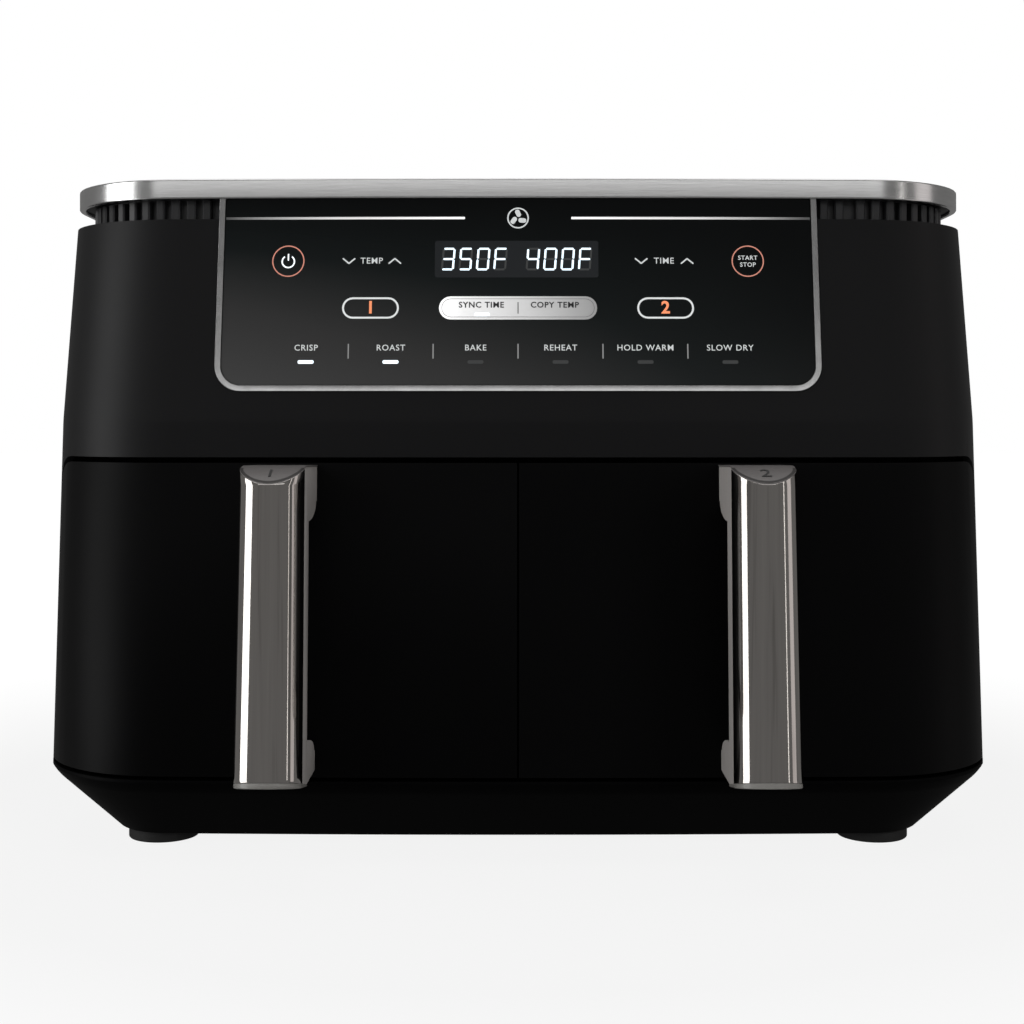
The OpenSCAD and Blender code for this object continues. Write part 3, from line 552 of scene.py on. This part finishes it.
def leaning_body(name, proud):
    """A tall copy of the housing's outer shape, moved out or in, from which the panel's pieces are cut."""
    rise = 100 * mm
    rate = (top_level[2] - crease_level[2]) / (shell_top - crease_z)
    side = (crease_level[1] - top_level[1]) / (shell_top - crease_z)
    lower = (crease_z, crease_level[1] + proud, crease_level[2] - proud, back)
    upper = (crease_z + rise, crease_level[1] - side * rise + proud,
             crease_level[2] + rate * rise - proud, back)
    return rounded_body(name, [lower, upper], front_corner, back_corner, columns=28)


def panel_piece(name, proud, depth, half, bottom, corner):
    """A bowed, leaning sheet in the panel's outline, between two depths."""
    piece = leaning_body(name, proud)
    cut(piece, panel_cutter("outline", half, bottom, band_low.z, corner), "INTERSECT")
    cut(piece, leaning_body("inside", proud - depth))
    return piece


trim_w, trim_proud, trim_deep = 2.5 * mm, 0.7 * mm, 4 * mm
glass_proud, glass_deep, glass_gap = 0.15 * mm, 3 * mm, 0.1 * mm
hole_corner, glass_corner = 8.6 * mm, 8.5 * mm
trim = panel_piece("panel_frame", trim_proud, trim_deep, trim_high.x, trim_low.z, panel_corner)
cut(trim, panel_cutter("trim_hole", trim_high.x - trim_w, trim_low.z + trim_w, 0.3, hole_corner))
soften(trim, 0.5 * mm)
chrome = Finish("trim_chrome", Metallic=1.0)
chrome.drive(Base_Color=chrome.ramp(chrome.noise(90, 2), (0.3, 0.55), (0.7, 0.68)),
             Roughness=chrome.noise(700, 2) * 0.08 + 0.16)
paint(trim, chrome)
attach(trim, "root")
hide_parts("panel_trim")

glass = panel_piece("panel_face", glass_proud, glass_deep, trim_high.x - trim_w - glass_gap,
                    trim_low.z + trim_w + glass_gap, glass_corner)
soften(glass, 0.25 * mm)
gloss = Finish("panel_gloss", Specular_IOR_Level=0.16)
# Painted reflection: the panel's base colour is lighter towards its bottom and its left, standing in for
# studio light reflected in the gloss, with a little random unevenness.
panel_height = gloss.node("MapRange", {}, gloss.axis("Z"), From_Min=trim_low.z, From_Max=trim_high.z)
across = gloss.node("MapRange", {}, gloss.axis("X"), From_Min=-trim_high.x, From_Max=trim_high.x)
painted_reflection = gloss.noise(6, 2) * 0.08 + (1 - panel_height) * (1 - across * 0.9)
gloss.drive(Base_Color=gloss.ramp(painted_reflection, (0.0, (0.0004, 0.0005, 0.0006)), (0.3, (0.0050, 0.0066, 0.0068)),
                                  (0.6, (0.026, 0.026, 0.026)), (0.95, (0.040, 0.040, 0.040))),
            Roughness=gloss.noise(35, 3) * 0.05 + 0.17)
paint(glass, gloss)
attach(glass, "root")
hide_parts("panel_glass")

# ---------------------------------------------------------------------------------------------------------
# Panel marks. Thin printed and back-lit figures behind the gloss: a ruled line with a small fan mark, a row
# of keys, eight figures of seven segments each, and a row of cooking words with their indicator bars.

lean = atan2(top_level[2] - crease_level[2], top_level[0] - crease_z)
in_front = 6 * mm
on_glass = Matrix.Translation((0, crease_level[2] - in_front, crease_z)) \
    @ Matrix.Rotation(pi / 2 - lean, 4, "X")
marks = {}


def mark(kind, u, v, turn=0):
    """Files the active flat mesh under its kind, at a place on the panel, across and up the slope, in mm."""
    piece = bpy.context.object
    piece.matrix_world = Matrix.Translation((u * mm, v * mm, 0)) @ Matrix.Rotation(radians(turn), 4, "Z") \
        @ piece.matrix_world
    settle(piece)
    marks.setdefault(kind, []).append(piece)
    return piece


def bar(kind, u, v, w, h, turn=0, corner=0.0, outline=0.0):
    """A flat bar with round corners, or only its outline."""
    rest()
    bpy.ops.mesh.primitive_plane_add(size=1)
    piece = bpy.context.object
    piece.scale = (w * mm, h * mm, 1)
    settle(piece)
    edit(piece)
    if corner:
        bpy.ops.mesh.select_all(action="SELECT")
        bpy.ops.mesh.bevel(offset=corner * mm * 0.999, segments=6, affect="VERTICES")
    if outline:
        bpy.ops.mesh.select_mode(type="FACE")
        bpy.ops.mesh.select_all(action="SELECT")
        bpy.ops.mesh.inset(thickness=outline * mm)
        bpy.ops.mesh.delete(type="FACE")
    rest()
    return mark(kind, u, v, turn)


def ring(kind, u, v, radius, line, squash=1.0, gap=0.0):
    """A flat ring, open at its top by a gap in degrees."""
    rest()
    bpy.ops.mesh.primitive_circle_add(vertices=72, radius=radius * mm, fill_type="NGON")
    piece = bpy.context.object
    edit(piece)
    bpy.ops.mesh.select_mode(type="FACE")
    bpy.ops.mesh.select_all(action="SELECT")
    bpy.ops.mesh.inset(thickness=line * mm)
    bpy.ops.mesh.delete(type="FACE")
    if gap:
        pick("FACE", lambda face, m: abs(atan2(m.x, m.y)) < radians(gap / 2))
        bpy.ops.mesh.delete(type="FACE")
    rest()
    piece.scale.y = squash
    return mark(kind, u, v)


def word(kind, text, u, v, size, weight=0.0):
    """A word in plain capitals, centred."""
    rest()
    bpy.ops.object.text_add()
    piece = bpy.context.object
    piece.data.body = text
    piece.data.size = size * mm
    piece.data.align_x, piece.data.align_y = "CENTER", "CENTER"
    piece.data.offset = weight * mm
    piece.data.space_character = 1.12
    piece.data.resolution_u = 3
    bpy.ops.object.convert(target="MESH")
    return mark(kind, u, v)


arm_out, arm_w, arm_h, arm_turn = 1.25, 3.7, 0.62, -40


def chevron(kind, u, v, way):
    """A small arrowhead of two strokes that points up or down."""
    for side in (-1, 1):
        bar(kind, u + side * arm_out, v, arm_w, arm_h, side * way * arm_turn, 0.3)


# The seven segments: across, up, turned, and the figures' lit segments in that order
segments = [(0, 1, 0), (0.5, 0.5, 90), (0.5, -0.5, 90), (0, -1, 0), (-0.5, -0.5, 90), (-0.5, 0.5, 90),
            (0, 0, 0)]
lit = {"0": "1111110", "3": "1111001", "4": "0110011", "5": "1011011", "F": "1000111"}
digit_w, digit_h, digit_pitch, stroke = 4.6, 9.0, 7.35, 0.85
segment_gap, slant, slant_turn = 0.35, 0.09, 4


def figure(symbol, u, v):
    """A slightly slanted figure of seven segments, the lit ones apart from the unlit."""
    for (across, up, turn), on in zip(segments, lit[symbol]):
        length = (digit_h / 2 if turn else digit_w) - segment_gap
        place_u = u + across * digit_w + slant * (up * digit_h / 2)
        bar("digits" if on == "1" else "unlit", place_u, v + up * digit_h / 2, length, stroke,
            turn - (slant_turn if turn else 0), stroke / 2 - 0.02)


# Rows up the slope and columns across, in mm
rule_v, display_v, key_v, zone_v, word_v, light_v = 87, 69.0, 68.2, 47.8, 30.6, 24.6
round_u, zone_u, arrow_u, arrow_out, plate_u = 97.1, 62.0, 61.7, 9.7, 15.4
for side, text, middle in ((-1, "350F", -18.4), (1, "400F", 17.3)):
    bar("rule", side * 73.3, rule_v, 101.5, 1.05)
    chevron("printed", side * arrow_u - arrow_out, key_v, -1)
    chevron("printed", side * arrow_u + arrow_out, key_v, 1)
    bar("outline", side * zone_u, zone_v, 23.9, 9.2, 0, 4.55, 0.8)
    ring("rings", side * round_u, key_v, 6.85, 0.5, 0.89)
    for i, symbol in enumerate(text):
        figure(symbol, middle + (i - 1.5) * digit_pitch, display_v)
bar("window", -0.6, display_v, 69, 16, 0, 1)
word("printed", "TEMP", -61.8, key_v, 3.7, 0.02)
word("printed", "TIME", 61.6, key_v, 3.7, 0.02)
word("numbers", "1", -zone_u, zone_v, 7.4, 0.2)
word("numbers", "2", zone_u, zone_v, 7.4, 0.2)
ring("lit", -round_u, 68.0, 2.9, 0.62, 0.92, 70)
bar("lit", -round_u, 69.9, 0.62, 3.0, 0, 0.25)
word("printed", "START", round_u, 69.6, 2.6, 0.04)
word("printed", "STOP", round_u, 66.6, 2.6, 0.04)
ring("printed", 0, rule_v, 4.6, 0.6)
blade_out = 2.1
for turn in (0, 120, 240):
    bar("printed", -blade_out * sin(radians(turn)), rule_v + blade_out * cos(radians(turn)), 2.0, 3.3,
        turn + 25, 0.9)
bar("plate", 0, zone_v, 66.4, 10, 0, 4.95)
bar("plate_line", 0, zone_v, 64.2, 8.0, 0, 3.95, 0.18)
word("plate_ink", "SYNC TIME", -plate_u, 49.0, 3.5, 0.07)
word("plate_ink", "COPY TEMP", plate_u, 49.0, 3.5, 0.07)
bar("plate_ink", 0, zone_v, 0.35, 5.0)
bar("indicator", -15.1, 45.0, 6.3, 1.4, 0, 0.6)
words = ["CRISP", "ROAST", "BAKE", "REHEAT", "HOLD WARM", "SLOW DRY"]
word_pitch = 35.5
for i, text in enumerate(words):
    u = (i - (len(words) - 1) / 2) * word_pitch
    word("printed", text, u, word_v, 3.6, 0.02)
    bar("indicator" if i < 2 else "unlit", u, light_v, 6.7, 1.5, 0, 0.7)
    if i:
        bar("separator", u - word_pitch / 2, 29.2, 0.5, 6.3)


def ink(name, color, rough=0.4, glow=None, strength=0.0):
    """Printed or back-lit colour, a little uneven."""
    finish = Finish("ink_" + name, Roughness=rough)
    patch = finish.noise(300, 2)
    finish.drive(Base_Color=finish.between(patch, [c * 0.85 for c in color], color))
    if glow:
        finish.shader.inputs["Emission Strength"].default_value = strength
        finish.drive(Emission_Color=finish.between(patch, [c * 0.85 for c in glow], glow))
    return finish


inks = {
    "printed": ink("white", (0.30, 0.31, 0.31), 0.4, (0.50, 0.52, 0.52), 0.75),
    "outline": ink("outline", (0.40, 0.41, 0.41), 0.3, (0.50, 0.52, 0.52), 0.8),
    "lit": ink("lit", (0.5, 0.5, 0.5), 0.4, (0.85, 0.93, 1.0), 1.0),
    "digits": ink("digits", (0.5, 0.5, 0.5), 0.4, (0.70, 0.88, 1.0), 1.2),
    "indicator": ink("indicator", (0.5, 0.5, 0.5), 0.4, (0.78, 0.92, 1.0), 1.3),
    "window": ink("window", (0.004, 0.0045, 0.005), 0.2, (0.6, 0.75, 0.9), 0.008),
    "unlit": ink("unlit", (0.02, 0.021, 0.021), 0.4, (0.02, 0.021, 0.021), 0.9),
    "separator": ink("separator", (0.12, 0.12, 0.12), 0.4, (0.3, 0.3, 0.3), 0.6),
    "rings": ink("rings", (0.30, 0.12, 0.09), 0.4, (0.55, 0.22, 0.16), 0.7),
    "numbers": ink("numbers", (0.40, 0.12, 0.05), 0.4, (0.85, 0.28, 0.13), 0.8),
    "plate_ink": ink("plate_ink", (0.015, 0.015, 0.016)),
    "plate_line": ink("plate_line", (0.10, 0.10, 0.10)),
}


def fading(name, start, stop, *stops, glow=0.0, **constants):
    """A print whose colour runs outwards from the middle, or, if start is negative, a painted sheen from
    light on the left to dark on the right.
    """
    finish = Finish(name, **constants)
    x = finish.axis("X")
    if start >= 0:
        x = finish.node("Math", {"operation": "ABSOLUTE"}, x)
    along_x = finish.node("MapRange", {}, x, From_Min=start * mm, From_Max=stop * mm)
    shade = finish.ramp(along_x + (finish.noise(80, 2) - 0.5) * 0.06, *stops)
    finish.shader.inputs["Emission Strength"].default_value = glow
    return finish.drive(Base_Color=shade, Emission_Color=shade)


inks["rule"] = fading("ink_rule", 22, 124, (0.0, 0.62), (0.55, 0.40), (1.0, 0.035), glow=0.8, Roughness=0.4)
# Painted sheen: the silver key plate is light on the left and dark on the right, where light from the left
# falls on it.
inks["plate"] = fading("key_silver_painted_sheen", -33, 33, (0.0, 0.80), (0.15, 0.62), (0.55, 0.42), (1.0, 0.20), glow=0.5,
                       Roughness=0.3)
layers = {"window": 0.04, "unlit": 0.08, "plate": 0.10, "plate_line": 0.16, "plate_ink": 0.20,
          "indicator": 0.20}
strip = 11 * mm
for kind, pieces in marks.items():
    sheet = join(pieces, "panel_" + kind)
    edit(sheet)
    for i in range(-11, 12):
        bpy.ops.mesh.select_all(action="SELECT")
        bpy.ops.mesh.bisect(plane_co=(i * strip, 0, 0), plane_no=(1, 0, 0))
    rest()
    sheet.matrix_world = on_glass
    settle(sheet)
    apply(sheet, "SHRINKWRAP", target=glass, wrap_method="PROJECT", use_project_y=True,
          use_positive_direction=True, use_negative_direction=True, wrap_mode="ABOVE_SURFACE",
          offset=layers.get(kind, 0.12) * mm)
    paint(sheet, inks[kind])
    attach(sheet, "root")

# ---------------------------------------------------------------------------------------------------------
# Drawer fronts. Each is a hollow black moulding that wraps round the body's front corner, finely grained
# like the housing, its edges slightly rounded and its upper corner at the side round. A backplate closes it.

drawer_black = moulded("drawer_black", (0.0012, 0.0012, 0.0013), 0.45, level=0.05)


def mirrored(piece, name):
    """A mirror-image copy on the left, with a mesh of its own."""
    work_on(piece)
    bpy.ops.object.duplicate()
    copy = bpy.context.object
    copy.name = copy.data.name = name
    copy.scale.x = -1
    settle(copy)
    edit(copy)
    bpy.ops.mesh.select_all(action="SELECT")
    bpy.ops.mesh.flip_normals()
    rest()
    return copy


def both_sides(piece, name, node):
    """Fixes the right piece and its mirror image to their drawers in place of the CAD nodes."""
    piece.name = piece.data.name = name + "_right"
    for side, one in (("right", piece), ("left", mirrored(piece, name + "_left"))):
        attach(one, f"drawer_{side}")
        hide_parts(f"{node}_{side}")


face_wall = 2.5 * mm
face = rounded_body("drawer_face", shell_levels[:2], front_corner, back_corner)
cut(face, side_cutter("drawer_space", (face_low.x, -0.3, face_low.z), (0.3, face_high.y, face_high.z),
                      mouth_corner), "INTERSECT")
edit(face)
pick("FACE", lambda f, m: f.normal.y > 0.9 and m.y > face_high.y - 1 * mm)
bpy.ops.mesh.delete(type="FACE")
apply(face, "SOLIDIFY", thickness=face_wall, offset=-1, use_even_offset=True)
soften(face, 0.9 * mm, 3)
paint(face, drawer_black)
both_sides(face, "drawer_face", "drawer_front")

# ---------------------------------------------------------------------------------------------------------
# Handles. A warm-grey moulded bar with an upper and a lower bracket is screwed to each drawer front. Its
# front is a D-shaped sleeve of polished metal, bent over at the top round a grey cap with the drawer's
# number. Each handle is a little wider at its foot.

handle_x = 95.6 * mm
low_lean = atan2(crease_lean, crease_z - seam_z)
on_drawer = Matrix.Translation((handle_x, front, seam_z)) @ Matrix.Rotation(-low_lean, 4, "X")
reach, crown, gap, seat_y = 52 * mm, 12 * mm, 24 * mm, 1.5 * mm
sleeve_half, core_half = 12.6 * mm, 12.2 * mm
crown_y = crown - reach
foot_z, head_z = 38.3 * mm - seam_z, 165.9 * mm - seam_z
sleeve_z = foot_z + 0.7 * mm
foot_rise, sleeve_rise, root_rise = 4.5 / 28, 6.3 / 28, 0.9 * mm
bend_y, bend_r = -32 * mm, 33.2 * mm
cap_edge, cap_gap, cap_deep, rim = 0.5 * mm, 0.02 * mm, 12 * mm, 1.3 * mm
beyond, wide = 5 * mm, 0.1
foot_widening, foot_splay = 0.067, 1.45 * mm


def raise_foot(piece, height, rise, keep_above=True):
    """Cuts a piece along its underside, which rises towards the front, and closes the cut."""
    edit(piece)
    bpy.ops.mesh.select_all(action="SELECT")
    bpy.ops.mesh.bisect(plane_co=(0, -gap, height), plane_no=Vector((0, rise, 1)).normalized(),
                        use_fill=True, clear_inner=keep_above, clear_outer=not keep_above)
    rest()


def splay(piece):
    """Makes a straight upright bar wider and further out towards its foot."""
    levels = sorted({round(vertex.co.z, 6) for vertex in piece.data.vertices})
    edit(piece)
    for z in levels:
        down = (head_z - z) / (head_z - foot_z)
        pick("VERT", lambda vertex, m: near(m.z, z))
        bpy.ops.transform.resize(value=(1 + foot_widening * down, 1, 1), center_override=(0, 0, 0))
        bpy.ops.transform.translate(value=(foot_splay * down, 0, 0))
    rest()
    return piece


def bend_over(piece, height):
    """Cuts a piece to the top of the handle, level at the drawer and bent down to the front."""
    envelope = block("handle_envelope", (-wide, bend_y - bend_r, -wide), (wide, wide, height))
    edit(envelope)
    pick("EDGE", lambda edge, m: along(edge, 0) and near(m.y, bend_y - bend_r) and near(m.z, height))
    bpy.ops.mesh.bevel(offset=bend_r, segments=40, affect="EDGES")
    cut(piece, envelope, "INTERSECT")


def d_bar(name, half, depth, low, high, back_to=None):
    """An upright bar of half-oval section that bulges to the front, with a straight stretch behind it."""
    rest()
    bpy.ops.mesh.primitive_cylinder_add(vertices=96, radius=half, depth=high - low,
                                        location=(0, crown_y, (low + high) / 2))
    piece = bpy.context.object
    piece.name = piece.data.name = name
    piece.scale.y = depth / half
    settle(piece)
    edit(piece)
    bpy.ops.mesh.select_all(action="SELECT")
    bpy.ops.mesh.bisect(plane_co=(0, crown_y, 0), plane_no=(0, 1, 0), use_fill=True, clear_outer=True)
    if back_to is not None:
        pick("FACE", lambda face, m: face.normal.y > 0.9)
        bpy.ops.mesh.extrude_region_move(TRANSFORM_OT_translate={"value": (0, back_to - crown_y, 0)})
    return splay(piece)


sleeve = d_bar("handle_front", sleeve_half, crown, foot_z - beyond, head_z + beyond)
bend_over(sleeve, head_z - cap_edge)
raise_foot(sleeve, sleeve_z, sleeve_rise)
# Loops close to both ends keep the long faces between them evenly shaded
loop_down, loop_up = 7.6 * mm, 7.5 * mm
edit(sleeve)
for z in (head_z - loop_down, foot_z + loop_up):
    bpy.ops.mesh.select_all(action="SELECT")
    bpy.ops.mesh.bisect(plane_co=(0, 0, z), plane_no=(0, 0, 1))
rest()
soften(sleeve, 0.25 * mm, 2, 30)
handle_metal = Finish("handle_metal", Metallic=1.0)
drawn = handle_metal.noise(260, 3, 0.7, (1, 1, 0.004))
fine = handle_metal.noise(900, 2, 0.6, (1, 1, 0.008))
warm = handle_metal.ramp(drawn, (0.32, (0.36, 0.34, 0.32)), (0.45, (0.50, 0.475, 0.455)),
                         (0.7, (0.55, 0.525, 0.50)))
handle_metal.drive(Base_Color=warm, Roughness=drawn * 0.05 + fine * 0.03 + 0.035)
handle_metal.bump(fine * 0.3 + drawn, 0.006 * mm, 0.25)
paint(sleeve, handle_metal)


def lying_cylinder(name, y, z, ry, rz):
    """A cylinder that lies across the handle, of oval section."""
    rest()
    bpy.ops.mesh.primitive_cylinder_add(vertices=96, radius=1, depth=2 * wide, location=(0, y, z),
                                        rotation=(0, pi / 2, 0))
    piece = bpy.context.object
    piece.name = piece.data.name = name
    piece.scale = (rz, ry, 1)
    return settle(piece)


gap_low, gap_high = foot_z + 9.9 * mm, head_z - 15 * mm
shoulder_y, shoulder_z, core_down = 23 * mm, 7.4 * mm, 0.6 * mm
window_back, under_back = 30 * mm, seat_y + 1 * mm
core = splay(block("handle_bar", (-core_half, crown_y, foot_z - beyond), (core_half, seat_y, head_z)))
finger_window = block("finger_window", (-wide, -gap, gap_low), (wide, window_back, gap_high))
for z in (gap_low, gap_high):
    cut(finger_window, lying_cylinder("bracket_shoulder", -gap, z, shoulder_y, shoulder_z))
cut(core, finger_window)
under = block("foot_cutter", (-wide, crown_y, foot_z - 20 * mm), (wide, under_back, sleeve_z))
edit(under)
bpy.ops.mesh.select_all(action="SELECT")
bpy.ops.mesh.bisect(plane_co=(0, -gap, 0), plane_no=(0, 1, 0))
for y, rise in ((crown_y, (-gap - crown_y) * sleeve_rise), (under_back, root_rise)):
    pick("EDGE", lambda edge, m: along(edge, 0) and near(m.y, y) and near(m.z, sleeve_z))
    bpy.ops.transform.translate(value=(0, 0, rise))
cut(core, under)
bend_over(core, head_z - core_down)
soften(core, 0.7 * mm, 3)
core_grey = moulded("handle_grey", (0.32, 0.302, 0.29), 0.42, level=0.4)
paint(core, core_grey)

cap_in, end_in = 0.1 * mm, 0.2 * mm
cap = d_bar("handle_cap", sleeve_half - cap_in, crown - cap_in, head_z - cap_deep, head_z + beyond, seat_y)
bend_over(cap, head_z)
lower = block("cap_cutter", (-wide, -wide, -wide), (wide, wide, head_z + beyond))
bend_over(lower, head_z - cap_edge - cap_gap)
cut(cap, lower)
cap_grey = moulded("cap_grey", (0.105, 0.098, 0.096), 0.42, level=0.3)
rim_dark = moulded("rim_dark", (0.030, 0.028, 0.027), 0.5, level=0.2)
paint(cap, cap_grey)
cap.data.materials.append(rim_dark.material)
edit(cap)
pick("FACE", lambda face, m: face.normal.z > 0.5)
cap.active_material_index = 1
bpy.ops.object.material_slot_assign()
bpy.ops.mesh.inset(thickness=rim)
cap.active_material_index = 0
bpy.ops.object.material_slot_assign()
pick("FACE", lambda face, m: face.normal.z > 0.5 and m.y > crown_y + 0.5 * mm)
bpy.ops.object.material_slot_assign()
rest()
soften(cap, 0.12 * mm)

end_low, end_high = foot_z - 1 * mm, foot_z + 20 * mm
end = d_bar("handle_end", sleeve_half - end_in, crown - end_in, end_low, end_high, -gap)
raise_foot(end, foot_z, foot_rise)
raise_foot(end, sleeve_z, sleeve_rise, keep_above=False)
soften(end, 0.5 * mm, 3, 40)
end_grey = moulded("end_grey", (0.17, 0.165, 0.155), 0.35, level=0.5)
paint(end, end_grey)

for piece, name, node, slot in ((core, "handle_bar", "handle_core", "handle_plastic"),
                                (sleeve, "handle_front", "handle_sleeve", "handle_chrome"),
                                (cap, "handle_top", "handle_cap", "cap_plastic"),
                                (end, "handle_end_piece", "handle_end", "handle_plastic")):
    piece.matrix_world = on_drawer
    settle(piece)
    both_sides(piece, name, node)

number_ink = ink("handle_number", (0.012, 0.012, 0.012), 0.5)
number_size, number_raised, number_y, number_down, number_tilt = 9 * mm, 0.15 * mm, -46 * mm, 3.1 * mm, 25
for side, way, text in (("left", -1, "1"), ("right", 1, "2")):
    rest()
    bpy.ops.object.text_add()
    number = bpy.context.object
    number.data.body = text
    number.data.size = number_size
    number.data.align_x, number.data.align_y = "CENTER", "CENTER"
    number.data.extrude = number_raised
    bpy.ops.object.convert(target="MESH")
    number.name = number.data.name = "drawer_number_" + text
    number.matrix_world = Matrix.Translation(((way - 1) * handle_x, 0, 0)) @ on_drawer \
        @ Matrix.Translation((0, number_y, head_z - number_down)) \
        @ Matrix.Rotation(radians(number_tilt), 4, "X")
    settle(number)
    paint(number, number_ink)
    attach(number, "drawer_" + side)

# ---------------------------------------------------------------------------------------------------------
# Inner parts that keep their CAD shapes: sheet steel, cast and turned metal, circuit boards and screws. Each
# group has its own finish.

def sheet_metal(name, dark, light, rough):
    """Rolled sheet or turned metal with faint streaks and spots."""
    finish = Finish(name, Metallic=1.0)
    streak = finish.noise(40, 3, 0.6, (1, 1, 12))
    spot = finish.noise(220, 2)
    finish.drive(Base_Color=finish.between(streak * 0.7 + spot * 0.3, dark, light),
                 Roughness=spot * 0.15 + streak * 0.1 + rough)
    return finish.bump(spot, 0.02 * mm, 0.3)


liner_steel = sheet_metal("liner_steel", (0.40, 0.40, 0.39), (0.55, 0.55, 0.54), 0.3)
zinc = sheet_metal("screw_zinc", (0.42, 0.42, 0.43), (0.6, 0.6, 0.6), 0.25)
heater_metal = sheet_metal("heater_metal", (0.14, 0.13, 0.12), (0.26, 0.24, 0.22), 0.4)
inner_black = moulded("inner_black", (0.010, 0.010, 0.010), 0.5)
board = Finish("board_green", Roughness=0.35)
board.drive(Base_Color=board.ramp(board.noise(180, 3), (0.4, (0.012, 0.07, 0.03)),
                                  (0.6, (0.02, 0.12, 0.05))))
coating = Finish("nonstick", Specular_IOR_Level=0.45)
speckle = coating.noise(900, 3, 0.7)
coating.drive(Base_Color=coating.ramp(speckle, (0.45, 0.014), (0.62, 0.035), (0.72, 0.10)),
              Roughness=coating.noise(60, 2) * 0.12 + 0.28)
coating.bump(speckle, 0.03 * mm, 0.4)
silicone = moulded("bumper_silicone", (0.05, 0.055, 0.06), 0.6)
gland_black = moulded("gland_black", (0.012, 0.012, 0.012), 0.6, level=0.2)
finish_of = {"liner_steel": liner_steel, "screw_zinc": zinc, "heater_metal": heater_metal,
             "motor_metal": zinc, "sensor_metal": zinc, "circuit_board": board, "nonstick": coating,
             "bumper_silicone": silicone, "gland_rubber": gland_black, "base_plastic": base_black,
             "display": inner_black, "inner_plastic": inner_black}
for part in frame["record"]["subparts"]:
    if part["material_slot"] in finish_of:
        paint(cad[part["node"]], finish_of[part["material_slot"]])

# ---------------------------------------------------------------------------------------------------------
# Studio: a pale floor with a painted shadow round the object, soft lights and a level camera at the height
# of the crease.

rest()
bpy.ops.mesh.primitive_plane_add(size=12, location=(0, 2, 0))
floor = bpy.context.object
floor.name = "studio_floor"
settle(floor)
floor_white = Finish("floor_white", Roughness=0.9, Specular_IOR_Level=0.0, Emission_Strength=1.0)
# Painted shadow: the floor's glow and colour are dimmer within about 0.6 m of the object's middle, standing
# in for a soft shadow round its foot; a faint real shadow falls on top of it.
away = floor_white.node("VectorMath", {"operation": "LENGTH"}, floor_white.place(), output="Value")
away = floor_white.node("MapRange", {}, away, From_Min=0.27, From_Max=0.6)
patch = floor_white.noise(1.2, 2) * 0.03
floor_white.drive(Base_Color=floor_white.ramp(patch + away, (0.0, 0.04), (1.0, 0.05)),
                  Emission_Color=floor_white.ramp(patch + away, (0.0, 0.87), (0.5, 0.95), (0.95, 1.0)))
paint(floor, floor_white)
floor.visible_glossy = floor.visible_diffuse = False


def lamp(name, place, aim, size, radiance, color=(1, 1, 1)):
    """A soft rectangular lamp that faces its aim, its own brightness given as radiance."""
    light = bpy.data.lights.new(name, "AREA")
    light.shape, light.size, light.size_y = "RECTANGLE", size[0], size[1]
    light.energy, light.color = radiance * pi * size[0] * size[1], color
    stand = bpy.data.objects.new(name, light)
    stand.location = place
    stand.rotation_euler = (Vector(aim) - Vector(place)).to_track_quat("-Z", "Y").to_euler()
    bpy.context.scene.collection.objects.link(stand)
    return stand


lamp("top_soft", (0, -0.1, 1.9), (0, 0, 0.2), (2.0, 1.6), 1.5)
lamp("left_box", (-1.2, -0.42, 0.2), (0, -0.3, 0.2), (0.6, 1.7), 3.2)
for way in (-1, 1):
    lamp("side_fill", (way * 0.9, -1.2, 0.35), (0, -0.15, 0.1), (0.5, 1.0), 5.5).visible_glossy = False
lamp("right_thin", (0.95, -0.62, 0.35), (0, -0.2, 0.35), (0.035, 1.1), 2.2, (1, 0.97, 0.94))
lamp("right_card", (1.05, -0.22, 0.2), (0, -0.22, 0.2), (0.32, 1.6), 0.6, (1.0, 0.93, 0.92))
lamp("band_card", (0, -1.95, 0.72), (0, 0, 0.4), (3.2, 0.36), 0.9)

world = bpy.data.worlds.new("studio")
bpy.context.scene.world = world
world.use_nodes = True
sky = world.node_tree.nodes["Background"]
sky.inputs["Color"].default_value = (1, 0.99, 0.98, 1)
sky.inputs["Strength"].default_value = 0.18
seen = world.node_tree.nodes.new("ShaderNodeBackground")
seen.inputs["Color"].default_value = (1, 1, 1, 1)
seen.inputs["Strength"].default_value = 1.0
ray = world.node_tree.nodes.new("ShaderNodeLightPath")
choose = world.node_tree.nodes.new("ShaderNodeMixShader")
world.node_tree.links.new(ray.outputs["Is Camera Ray"], choose.inputs[0])
world.node_tree.links.new(sky.outputs[0], choose.inputs[1])
world.node_tree.links.new(seen.outputs[0], choose.inputs[2])
world.node_tree.links.new(choose.outputs[0], world.node_tree.nodes["World Output"].inputs["Surface"])
bpy.context.scene.view_settings.view_transform = "Standard"

camera_data = bpy.data.cameras.new("camera")
camera_data.lens, camera_data.sensor_width = 56.25, 36
camera_data.shift_x, camera_data.shift_y = -0.0059, -0.0898
camera = bpy.data.objects.new("camera", camera_data)
eye_distance = 0.660
camera.location = (0, front - eye_distance, crease_z)
camera.rotation_euler = (pi / 2, 0, 0)
bpy.context.scene.collection.objects.link(camera)
bpy.context.scene.camera = camera
